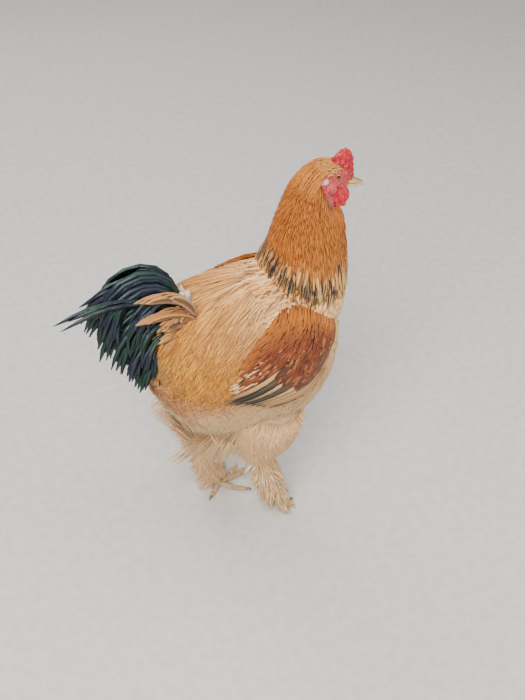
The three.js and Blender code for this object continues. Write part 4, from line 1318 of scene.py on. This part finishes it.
class COCK_OT_wings(bpy.types.Operator):
    """Folds the wings: rounded shoulder and bow, rows of coverts, and flight feathers with dark edges"""

    bl_idname = "cock.wings"
    bl_label = "Wings"

    def execute(self, context):
        finish = feather_finish("wing_vane", 0.48, 0.08, 0.9, 0.26)
        for k, (side, hand) in enumerate(HANDS.items()):
            chance, coat = np.random.RandomState(31 + k), Feathers()
            self.shell(side, hand)
            self.flights(coat, hand, chance, 8 + k)
            self.coverts(coat, hand, chance, 8 + k)
            coat.build("wing_feathers_" + side, finish, "wing", ("wing_" + side,))
        return {"FINISHED"}

    def shell(self, side, hand):
        """The wing under its feathers."""
        face = on_wing(hand)
        us, vs = np.linspace(0.05, 0.78, 34), np.linspace(0.12, 0.86, 22)
        x = WING_FRONT + (WING_TIP - WING_FRONT) * us[:, None]
        z = wing_top(us)[:, None] + (wing_low(us) - wing_top(us))[:, None] * vs[None, :]
        near_ends, near_edges = np.minimum(us, 1 - us)[:, None], np.minimum(vs, 1 - vs)[None, :]
        full = np.minimum(1, near_ends * 6) * np.minimum(1, near_edges * 5)
        outer = face(x, z, -3.4 - 4 * (1 - full))
        inner = flank(x, z, hand, -6.0)
        points = np.concatenate([outer.reshape(-1, 3), inner.reshape(-1, 3)])
        half = z.size
        at = np.arange(half).reshape(z.shape)
        quads = np.stack([at[:-1, :-1], at[:-1, 1:], at[1:, 1:], at[1:, :-1]], -1).reshape(-1, 4)
        border = np.concatenate([at[:, 0], at[-1, 1:], at[-2::-1, -1], at[0, -2:0:-1]])
        ahead = np.roll(border, -1)
        rim = np.stack([border + half, ahead + half, ahead, border], -1)
        faces = np.concatenate([quads, (quads + half)[:, ::-1], rim])
        faces = faces if hand > 0 else faces[:, ::-1]
        name = "wing_shell_" + side
        shell = finish_mesh(name, points, faces, skin_finish(), ("wing_" + side,))
        bm = bmesh.new()
        bm.from_mesh(shell.data)
        bmesh.ops.recalc_face_normals(bm, faces=bm.faces)
        bm.to_mesh(shell.data)
        bm.free()
        # Painted shade: the shell is a darkened rust so the gaps between the wing feathers read as shade.
        paint(shell, RUST * 0.5)

    def row(
        self, coat, hand, chance, column, roots, tips, width, lifts, tint, heart, stripe, profile="covert",
        count=5, tip_tint=None, drape=2.0
    ):
        """Feathers from roots to tips, both side-view places on the wing."""
        n = len(roots)
        t = np.linspace(0, 1, count)[None, :]
        x = roots[:, :1] + (tips[:, :1] - roots[:, :1]) * t
        z = roots[:, 1:] + (tips[:, 1:] - roots[:, 1:]) * t - drape * np.sin(np.pi * t)
        lift = np.interp(t, np.linspace(0, 1, len(lifts)), lifts) + 0.9 * chance.uniform(-1, 1, (n, 1)) * t
        face = on_wing(hand)
        paths = face(x, z, lift)
        normals = unit(face(x, z, lift + 1.0) - paths)
        u, v = wing_share(roots[:, 0], roots[:, 1])
        patch = patch_at(column, np.clip(u, 0, 1), np.clip(v, 0, 1) * 6.2)
        coat.add(paths, normals, width_of(width, profile, count), tint, heart, stripe, patch, 0.3, tip_tint)

    def flights(self, coat, hand, chance, column):
        """Folded flight feathers, tan with a black lower web, the upper ones lying over the lower."""
        n = 8
        k = np.linspace(0, 1, n)
        roots = np.stack([78 - 66 * k, 340 + 56 * k], -1)
        tips = np.stack([-22 - 72 * k, 315 + 38 * k + 4 * np.sin(np.pi * k)], -1)
        for shift, colour, wide, lift in ((0.0, STRAW, 13.0, 0.0), (-5.0, BLACK, 4.4, 0.6)):
            pale = shift == 0
            below = np.array([0.3, 1.0]) * shift
            for i in range(n):
                tone = blend(colour, TAN, chance.uniform(0.3, 0.95) if pale else 0)
                tone = blend(tone, BLACK, 0.85 if pale and i in (4, 6) else 0)
                tip = blend(tone, BLACK, 0.75 if i > 2 else 0.1)
                rise = 2.6 + 0.55 * i + lift
                self.row(
                    coat, hand, chance, column, (roots + below)[[i]], (tips + below)[[i]], np.array([wide]),
                    (0.0, rise, rise + 0.8), tone, RUST, 0, count=8, drape=5.0, tip_tint=tip,
                )

    def coverts(self, coat, hand, chance, column):
        """Shingled coverts: golden on the shoulder, chestnut below, black and white near the flights."""
        us, vs = np.meshgrid(np.linspace(0.0, 0.72, 38), np.linspace(0.0, 0.8, 27), indexing="ij")
        u = (us + 0.012 * chance.uniform(-1, 1, us.shape)).ravel()
        v = (vs + 0.02 * chance.uniform(-1, 1, us.shape)).ravel()
        u, v = np.clip(u, 0.0, 1), np.clip(v, 0, 1)
        above_flights = v < np.where(u < 0.36, 0.82, 0.6)
        u, v = u[above_flights], v[above_flights]
        x = WING_FRONT - 2 + (WING_TIP - WING_FRONT) * u
        z = wing_top(u) + (wing_low(u) - wing_top(u)) * v
        n = len(u)
        length = (15 + 20 * np.clip(u * 1.3 + v * 0.7 - 0.15, 0, 1)) * chance.uniform(0.85, 1.15, n)
        slope = np.radians(58 - 34 * np.clip(u * 1.6, 0, 1) - 6 * v + 6 * chance.normal(0, 1, n))
        white = (u > 0.58) & (v > 0.22) & (chance.uniform(0, 1, n) > 0.5)
        length = np.where(white, length * 1.35, length)
        tips = np.stack([x - length * np.cos(slope), z - length * np.sin(slope)], -1)
        room = wing_low(wing_share(tips[:, 0], tips[:, 1])[0]) + 20 + 5 * chance.uniform(-1, 1, n)
        tips[:, 1] = np.maximum(tips[:, 1], room)
        golden = np.clip(1.05 - 4.6 * v - 0.3 * u, 0, 1) + np.clip(1 - 11 * u, 0, 1) * 0.6
        golden = np.clip(golden, 0, 1) * chance.uniform(0.5, 1, n)
        tone = blend(CHESTNUT, RUST, 0.7 * chance.uniform(0, 1, n) ** 2)
        tone = blend(tone, blend(AMBER, GOLD, 0.4), golden)
        tone = blend(tone, TAN, (chance.uniform(0, 1, n) > 0.84) * 0.5 * (v > 0.2))
        dark = (v > 0.36) & (u > 0.42) & (u < 0.62) & (chance.uniform(0, 1, n) > 0.4)
        tone = blend(tone, BLACK, dark * 0.85)
        tone = blend(tone, CREAM, white * 0.85)
        width = (6.4 + 3.6 * np.clip(u + v - 0.2, 0, 1)) * chance.uniform(0.9, 1.15, n)
        width = np.where(white, 0.62 * width, width)
        stripe = (chance.uniform(0, 1, n) > 0.7) * 0.6 * (1 - golden) * ~white
        high = 3.6 + 0.5 * (1 - v)
        roots, tip_tone = np.stack([x, z], -1), blend(tone, blend(RUST, GOLD, 0.3), 0.22)
        for batch in np.array_split(np.argsort(high), 6):
            top = float(high[batch].mean())
            self.row(
                coat, hand, chance, column, roots[batch], tips[batch], width[batch],
                (-2.2, top * 0.8, top + 0.6), tone[batch], BLACK, stripe[batch], "body", 5, tip_tone[batch],
                1.2,
            )


# Three layers of plumes from top to bottom: y and z of the root, launch angle, bend, length, spread and width
TAIL_TOP = [[3, 456, 90, 96, 136, 4, 30], [5, 436, 26, 50, 114, 6, 30], [7, 410, -30, 14, 92, 8, 28]]
TAIL_MIDDLE = [
    [9, 464, 106, 186, 216, 12, 22], [12, 440, 36, 108, 146, 16, 22], [15, 412, -25, 30, 102, 20, 22]
]
TAIL_LOW = [[20, 460, 104, 170, 136, 20, 18], [21, 438, 40, 110, 104, 20, 18], [22, 414, -20, 50, 82, 22, 18]]


class COCK_OT_tail(bpy.types.Operator):
    """Fans the tail: dark curved plumes with a green gloss, tan coverts and a tuft of white down"""

    bl_idname = "cock.tail"
    bl_label = "Tail"

    def execute(self, context):
        chance, coat = np.random.RandomState(41), Feathers()
        for rows, many in ((TAIL_TOP, 40), (TAIL_MIDDLE, 56), (TAIL_LOW, 48)):
            table = smooth_line(rows, 200)
            for hand in (LEFT, RIGHT):
                share = (np.arange(many) + 0.5 + 0.35 * chance.uniform(-1, 1, many)) / many
                y, z, launch, bend, length, spread, width = (
                    np.interp(share, np.linspace(0, 1, 200), column) for column in table.T
                )
                width = width * chance.uniform(0.4, 0.66, many)
                y = y + chance.uniform(-2, 2, many)
                launch = launch + chance.normal(0, 5, many)
                bend = bend * chance.uniform(0.84, 1.12, many)
                length = length * chance.uniform(0.8, 1.0, many)
                spread = spread + chance.normal(0, 6, many)
                self.plumes(coat, chance, hand, -122, y, z, launch, bend, length, spread, width, "black")
        for y, z, launch, bend, length, spread in ((-18, 452, 56, 66, 204, -20), (14, 454, 62, 84, 150, 6)):
            one = np.ones(3)
            self.plumes(
                coat, chance, 1, -126, y + np.array([0, 2, -2]), z + np.array([0, -3, 2]),
                launch + np.array([0, 3, -3]), bend * one, length * np.array([1, 0.9, 0.94]), spread * one,
                12 * one, "black",
            )
        glossy = feather_finish("tail_vane", 0.36, 0.1, 1.0, 0.25, green=True)
        coat.build("tail_plumes", glossy, "tail", ("tail",))
        cover = Feathers()
        for hand in (LEFT, RIGHT):
            n = 230
            ang = chance.uniform(-1.3, 0.8, n)
            z = 426 + 34 * ang
            launch, bend = 30 + 55 * ang, 60 * (0.4 + ang.clip(0, 1))
            length = chance.uniform(34, 70, n)
            far = chance.uniform(4, 28, n)
            x, width = -100 - 14 * chance.uniform(0, 1, n), chance.uniform(9, 14, n)
            self.plumes(cover, chance, hand, x, far, z, launch, bend, length, far * 0.8 + 4, width, "tan")
        three = np.arange(3.0)
        for launch, bend, length, z in ((64, 62, 112, 470), (40, 44, 100, 458), (70, 40, 84, 466)):
            self.plumes(
                cover, chance, RIGHT, -104, 34 + 2.5 * three, z - 2 * three, launch + 3 * three,
                np.full(3, bend), length - 6 * three, np.full(3, 14.0), np.full(3, 13.0), "tan",
            )
        n = 120
        launch = chance.uniform(60, 130, n)
        x, y = -112 + 8 * chance.uniform(-1, 1, n), chance.uniform(-22, 22, n)
        z = 462 + 8 * chance.uniform(-1, 1, n)
        bend, length = chance.uniform(20, 80, n), chance.uniform(14, 26, n)
        spread, width = chance.uniform(-8, 8, n), chance.uniform(4, 6, n)
        self.plumes(cover, chance, 1, x, y, z, launch, bend, length, spread, width, "down")
        cover.build(
            "tail_coverts", feather_finish("tail_covert_vane", 0.5, 0.3, 0.8, 0.25), "tail", ("tail",)
        )
        stations = [[-112, 0, 428, 30, 30, 36], [-140, 0, 440, 28, 34, 40], [-166, 0, 446, 14, 20, 24]]
        root = settle(raw_tube("tail_root", Form(stations, domes=(0.1, 0.3)), 20, 28))
        dress(root, skin_finish(), ("tail",))
        # Painted shade: the root under the coverts is a darkened dusk brown so its gaps read as shade.
        paint(root, DUSK * 0.5)
        return {"FINISHED"}

    def plumes(self, coat, chance, hand, x, y, z, launch, bend, length, spread, width, kind):
        """Plumes that leave at the launch angle and bend on down. Their kind is black, tan or down."""
        n, count = len(z), 9 if np.max(length) > 60 else 5
        t = np.linspace(0, 1, count)
        mid = (t[1:] + t[:-1]) / 2
        angle = np.radians(launch[:, None] - bend[:, None] * np.minimum(1, mid[None, :] / 0.85))
        across = np.broadcast_to((spread / length)[:, None], angle.shape)
        way = unit(np.stack([-np.cos(angle), across, np.sin(angle)], -1))
        step = (length / (count - 1))[:, None, None] * way
        path = np.concatenate([np.zeros((n, 1, 3)), np.cumsum(step, 1)], 1)
        path[..., 1] *= hand
        path = path + np.stack([np.broadcast_to(x, (n,)), hand * y, z], -1)[:, None]
        normals = unit(np.array([0, hand, 0]) + np.array([0.16, 0, 0.3]) * chance.uniform(-1, 1, (n, 1, 1)))
        profile = np.interp(t, [0, 0.15, 0.45, 0.8, 0.94, 1], [0.3, 0.72, 1, 0.92, 0.55, 0.12])
        widths = width[:, None] * profile[None, :]
        if kind == "down":
            patch = patch_at(12, chance.uniform(0, 1, n), chance.uniform(0, 6, n))
            coat.add(path, normals, widths, blend(CREAM, np.ones(3) * 0.9, 0.5), CREAM, 0, patch, 0.2)
            return
        patch = patch_at(13 if kind == "black" else 14, np.clip((z - 400) / 80, 0, 1), 3 + hand * 1.5)
        if kind == "black":
            # The green and violet cast in the black plumes' base colour is painted sheen, with random tone on
            # top.
            tint = blend(linear(24, 36, 34), linear(52, 46, 60), chance.uniform(0, 0.6, n))
            tint = tint * chance.uniform(0.7, 1.15, (n, 1))
            coat.add(path, normals, widths, tint, BLACK, 0, patch, 0.3)
        else:
            tint = blend(TAN, GOLD, chance.uniform(0, 1, n))
            tint = blend(tint, RUST, (chance.uniform(0, 1, n) > 0.5) * 0.7)
            tint = blend(tint, DUSK, np.clip((440 - z) / 30, 0, 1) * chance.uniform(0.2, 1, n))
            tip, tint = blend(tint, STRAW, 0.25), tint * chance.uniform(0.8, 1.1, (n, 1))
            stripe = (chance.uniform(0, 1, n) > 0.7) * 0.8
            coat.add(path, normals, widths, tint, BLACK, stripe, patch, 0.3, tip)


# Each toe's name, length, turn away from the foot's heading, and radius
TOES = {
    "left": (("inner", 52, -46, 5.6), ("middle", 70, 0, 6.4), ("outer", 54, 42, 5.6), ("hind", 26, -152, 5)),
    "right": (("inner", 22, -30, 5.6), ("middle", 28, 0, 6.4), ("outer", 22, 32, 5.6), ("hind", 10, -160, 5)),
}


def scale_finish():
    """Scaled skin of toes and shanks, with darker cracks between the plates."""
    finish = Finish("foot_scales")
    spot = finish.place()
    plates = {"Vector": spot, "Scale": 420}
    cells = finish.node("ShaderNodeTexVoronoi", {"feature": "DISTANCE_TO_EDGE"}, plates)[0]
    fine = finish.noise(900, 3.0, spot)
    crack = cells.over(0.0, 0.09)
    finish.bump(crack * 0.8 + fine * 0.3, 0.5, 0.0006)
    grime = finish.colour_mix((fine * 1.1).over(0.35, 0.75), linear(150, 116, 70), finish.attribute("tint"))
    colour = finish.colour_mix(crack, linear(120, 92, 56), grime)
    return finish.set(colour=colour, rough=0.5 + fine * 0.15, coat=0.15, coat_rough=0.35)


def claw_finish():
    finish = Finish("claw_horn")
    streak = finish.noise(500, 3.0)
    finish.bump(streak, 0.15, 0.0003)
    colour = finish.colour_mix(streak.over(0.35, 0.7), linear(70, 52, 36), linear(178, 146, 104))
    return finish.set(colour=colour, rough=0.34, coat=0.3)


class COCK_OT_feet(bpy.types.Operator):
    """Makes the scaled toes, the claws, and the feathers that grow on the outer toes"""

    bl_idname = "cock.feet"
    bl_label = "Feet"

    def execute(self, context):
        scales, horn = scale_finish(), claw_finish()
        feathers = feather_finish("toe_feather_vane", 0.6, 0.2, 0.5, 0.24)
        for k, (side, hand) in enumerate(HANDS.items()):
            chance = np.random.RandomState(51 + k)
            parts, claws, coat = [], [], Feathers()
            for name, length, turn, radius in TOES[side]:
                angle = math.radians(HEADINGS[side] + hand * turn)
                out = np.array([math.cos(angle), math.sin(angle), 0.0])
                form, tip = self.toe_form(side, out, length, radius)
                parts.append(self.toe(form, out, length))
                claws.append((name, self.claw(side, tip, out, radius)))
                if name in ("outer", "middle"):
                    self.toe_feathers(coat, form, out, hand, length, chance, name, k)
            shank_foot = Form(
                [
                    mix(HOCKS[side], ANKLES[side], 0.62) + [8.5, 9, 9],
                    mix(HOCKS[side], ANKLES[side], 0.85) + [8.5, 9, 9],
                    lifted(ANKLES[side], 0.5) + [9, 9, 9],
                ],
                domes=(0.1, 0.2)
            )
            parts.append(raw_tube("shank_bare", shank_foot, 20, 24))
            foot = fuse("foot_" + side + "_skin", parts, 0.8, 2)
            for vertex in foot.data.vertices:
                vertex.co.z = max(vertex.co.z, 0.1)
            settle(foot)
            dress(foot, scales, ("foot_" + side,))
            paint(foot, linear(240, 202, 148))
            for name, piece in claws:
                piece.name = "claw_" + side + "_" + name + "_horn"
                settle(piece)
                dress(piece, horn, ("claw_" + side + "_" + name,))
            self.spray(coat, side, hand, chance, k)
            coat.build("foot_feathers_" + side, feathers, "fluff", ("shank_" + side,))
        return {"FINISHED"}

    def toe_form(self, side, out, length, radius):
        """A toe from the ankle down to the floor and along it, thicker at each joint, and its tip."""
        ankle = np.array(ANKLES[side], float)
        tip = ankle + out * length
        tip[2] = radius * 0.75 - 0.5
        stations = []
        for i, swell in enumerate((1, 0.86, 1.0, 0.84, 0.94, 0.8)):
            centre = ankle + (tip - ankle) * i / 5
            centre[2] = max(tip[2], ankle[2] + (tip[2] - ankle[2]) * min(1, 1.7 * i / 5))
            r = radius * swell
            stations.append(centre.tolist() + [r * 0.97, r * 0.76, r * 0.7])
        return Form(stations, side=tuple(np.cross([0, 0, 1.0], out)), domes=(0.1, 0.12)), tip

    def claw(self, side, tip, out, radius):
        """A claw that curves to the floor, longer and higher on the foot that stands."""
        reach, arch = (9, 0.8) if side == "left" else (5, 0)
        heel, middle, point = tip - out * 3, tip + out * reach * 0.5, tip + out * reach
        middle[2] += arch
        point[2] = 1.6
        form = Form(
            [
                heel.tolist() + [radius * 0.5] * 3, middle.tolist() + [radius * 0.42] * 3,
                point.tolist() + [0.9] * 3,
            ],
            side=(0, 0, 1), domes=(0.1, 0.2)
        )
        return raw_tube("claw", form, 20, 20)

    def toe(self, form, out, length):
        """A toe with broad scutes across its top."""
        piece = raw_tube("toe", form, 110, 28)
        for vertex in piece.data.vertices:
            along = (Vector(vertex.co) - Vector(form.centres[0])).dot(Vector(out))
            s = min(1.0, max(0.0, along / length))
            top = max(0.0, (vertex.co.z - form.look(form.centres, s)[2]) / 4.0)
            wave = (along / 4.2) % 1.0
            vertex.co.z += min(1.0, top) * 0.55 * (wave - 0.35) * min(1, 6 * (1 - s))
        return piece

    def toe_feathers(self, coat, form, out, hand, length, chance, name, k):
        """Feathers that grow outwards from a toe and lie on the floor."""
        n = 46 if name == "outer" else 22
        s = chance.uniform(0.02, 0.72, n)
        centre = form.look(form.centres, s)
        side = np.cross([0, 0, 1.0], out) * hand
        root = centre + side * 3.5 + np.array([0, 0, 2.0])
        reach = chance.uniform(16, 36, n) * (0.8 if name == "middle" else 1.0) * min(1, length / 50 + 0.2)
        fan = out * chance.uniform(0.35, 1.0, (n, 1)) + side * chance.uniform(0.5, 1.2, (n, 1))
        path, t = straight_paths(root, unit(fan + np.array([0, 0, 0.1])), reach)
        drop = t**1.4 * root[:, None, 2] * 0.8
        path[..., 2] = np.maximum(1.4, path[..., 2] - drop + chance.uniform(0, 1.6, (n, 1)))
        up = np.array([0.0, 0.0, 1.0])
        tint = blend(CREAM, TAN, chance.uniform(0, 0.6, n))
        widths = width_of(chance.uniform(4, 7, n), "hackle")
        stripe = (chance.uniform(0, 1, n) > 0.7) * 0.6
        coat.add(path, up, widths, tint, TAN, stripe, patch_at(10 + k, s, 1.0), 0.25)

    def spray(self, coat, side, hand, chance, k):
        """Feathers that hang outwards from the shank over the foot."""
        ankle, hock = np.array(ANKLES[side], float), np.array(HOCKS[side], float)
        n = 280
        share = chance.uniform(0.25, 0.95, n)
        fan = chance.uniform(-0.9, 1.9, n)
        out = np.stack([-np.sin(fan - 0.2), hand * np.cos(fan - 0.2) * 0.9, np.zeros(n)], -1)
        root = hock + (ankle - hock) * share[:, None] + out * 11
        reach = chance.uniform(18, 34, n)
        way = unit(out * 0.75 + np.array([0, 0, -0.75]) + 0.12 * chance.normal(0, 1, (n, 3)))
        path, _ = straight_paths(root, way, reach)
        path[..., 2] = np.maximum(1.2 + 2 * chance.uniform(0, 1, (n, 1)), path[..., 2])
        normals = unit(out + np.array([0, 0, 0.7]))[:, None]
        tint = blend(CREAM, TAN, chance.uniform(0, 0.45, n))
        widths = width_of(chance.uniform(2.6, 4.8, n), "hackle")
        stripe = (chance.uniform(0, 1, n) > 0.8) * 0.5
        coat.add(path, normals, widths, tint, TAN, stripe, patch_at(10 + k, share, fan + 2), 0.25)


# Camera and lamps in metres from the point between the feet, and angles in degrees
BIRD_PLACE = Vector((SHIFT / 1000, 0, 0))
CAMERA_PLACE, CAMERA_TURN, CAMERA_RISE = (-0.49279, -1.09563, 1.34050), -25, 40
CAMERA_LENS = 51.43
LAMPS = (
    ("key", (-1.1, -1.5, 2.3), 1.6, 108, (1, 0.985, 0.96)),
    ("fill", (2.2, -1.3, 1.3), 2.2, 22, (0.96, 0.98, 1)),
    ("back", (-0.4, 2.1, 1.9), 1.8, 26, (1, 0.99, 0.97)),
    ("top", (0.2, 0.1, 2.8), 2.4, 32, (1, 1, 1)),
)


class COCK_OT_stage(bpy.types.Operator):
    """Sets the pale floor, the soft lights and the camera at the photograph's viewing angle"""

    bl_idname = "cock.stage"
    bl_label = "Stage"

    def execute(self, context):
        ground = Finish("floor_paint")
        speck = ground.noise(60, 3.0)
        ground.bump(speck, 0.05, 0.0005)
        ground.set(
            colour=ground.colour_mix(speck.over(0.3, 0.7), linear(206, 202, 196), linear(216, 212, 206)),
            rough=0.85
        )
        bpy.ops.object.select_all(action="DESELECT")
        bpy.ops.mesh.primitive_plane_add(size=12, location=(0, 0, 0))
        floor = context.active_object
        floor.name = "floor"
        floor.data.materials.append(ground.material)
        turn, rise = math.radians(CAMERA_TURN), math.radians(CAMERA_RISE)
        back = Vector((math.sin(turn) * math.cos(rise), -math.cos(turn) * math.cos(rise), math.sin(rise)))
        lens = bpy.data.cameras.new("camera")
        lens.sensor_fit, lens.sensor_height, lens.lens = "VERTICAL", 36, CAMERA_LENS
        lens.clip_start = 0.05
        camera = bpy.data.objects.new("camera", lens)
        camera.location = Vector(CAMERA_PLACE) + BIRD_PLACE
        camera.rotation_euler = back.to_track_quat("Z", "Y").to_euler()
        context.scene.collection.objects.link(camera)
        context.scene.camera = camera
        middle = BIRD_PLACE + Vector((0, 0, 0.34))
        for name, spot, size, power, colour in LAMPS:
            lamp = bpy.data.lights.new(name, "AREA")
            lamp.shape, lamp.size, lamp.energy, lamp.color = "DISK", size, power, colour
            holder = bpy.data.objects.new(name, lamp)
            holder.location = Vector(spot) + BIRD_PLACE
            holder.rotation_euler = (holder.location - middle).to_track_quat("Z", "Y").to_euler()
            context.scene.collection.objects.link(holder)
        world = bpy.data.worlds.new("studio")
        world.use_nodes = True
        sky = world.node_tree.nodes["Background"].inputs
        sky["Color"].default_value, sky["Strength"].default_value = (0.82, 0.86, 0.92, 1), 0.42
        context.scene.world = world
        return {"FINISHED"}


PIECES = (
    COCK_OT_skin, COCK_OT_head, COCK_OT_comb, COCK_OT_beak, COCK_OT_hackle, COCK_OT_body_coat,
    COCK_OT_leg_fluff, COCK_OT_wings, COCK_OT_tail, COCK_OT_feet, COCK_OT_stage
)


class VIEW3D_PT_brahma_cock(bpy.types.Panel):
    """The bird's sizes and colours, and a button for each of its pieces"""

    bl_label = "Brahma Cock"
    bl_space_type = "VIEW_3D"
    bl_region_type = "UI"
    bl_category = "Cock"

    def draw(self, context):
        for key in BirdSettings.__annotations__:
            self.layout.prop(settings(), key)
        for piece in PIECES:
            self.layout.operator(piece.bl_idname)


def register():
    bpy.utils.register_class(BirdSettings)
    for piece in PIECES:
        bpy.utils.register_class(piece)
    bpy.utils.register_class(VIEW3D_PT_brahma_cock)
    bpy.types.Scene.brahma_cock = bpy.props.PointerProperty(type=BirdSettings)


def unregister():
    del bpy.types.Scene.brahma_cock
    bpy.utils.unregister_class(VIEW3D_PT_brahma_cock)
    for piece in reversed(PIECES):
        bpy.utils.unregister_class(piece)
    bpy.utils.unregister_class(BirdSettings)


def main():
    register()
    bpy.ops.object.select_all(action="DESELECT")
    for piece in PIECES:
        group, name = piece.bl_idname.split(".")
        getattr(getattr(bpy.ops, group), name)()


if __name__ == "__main__":
    main()
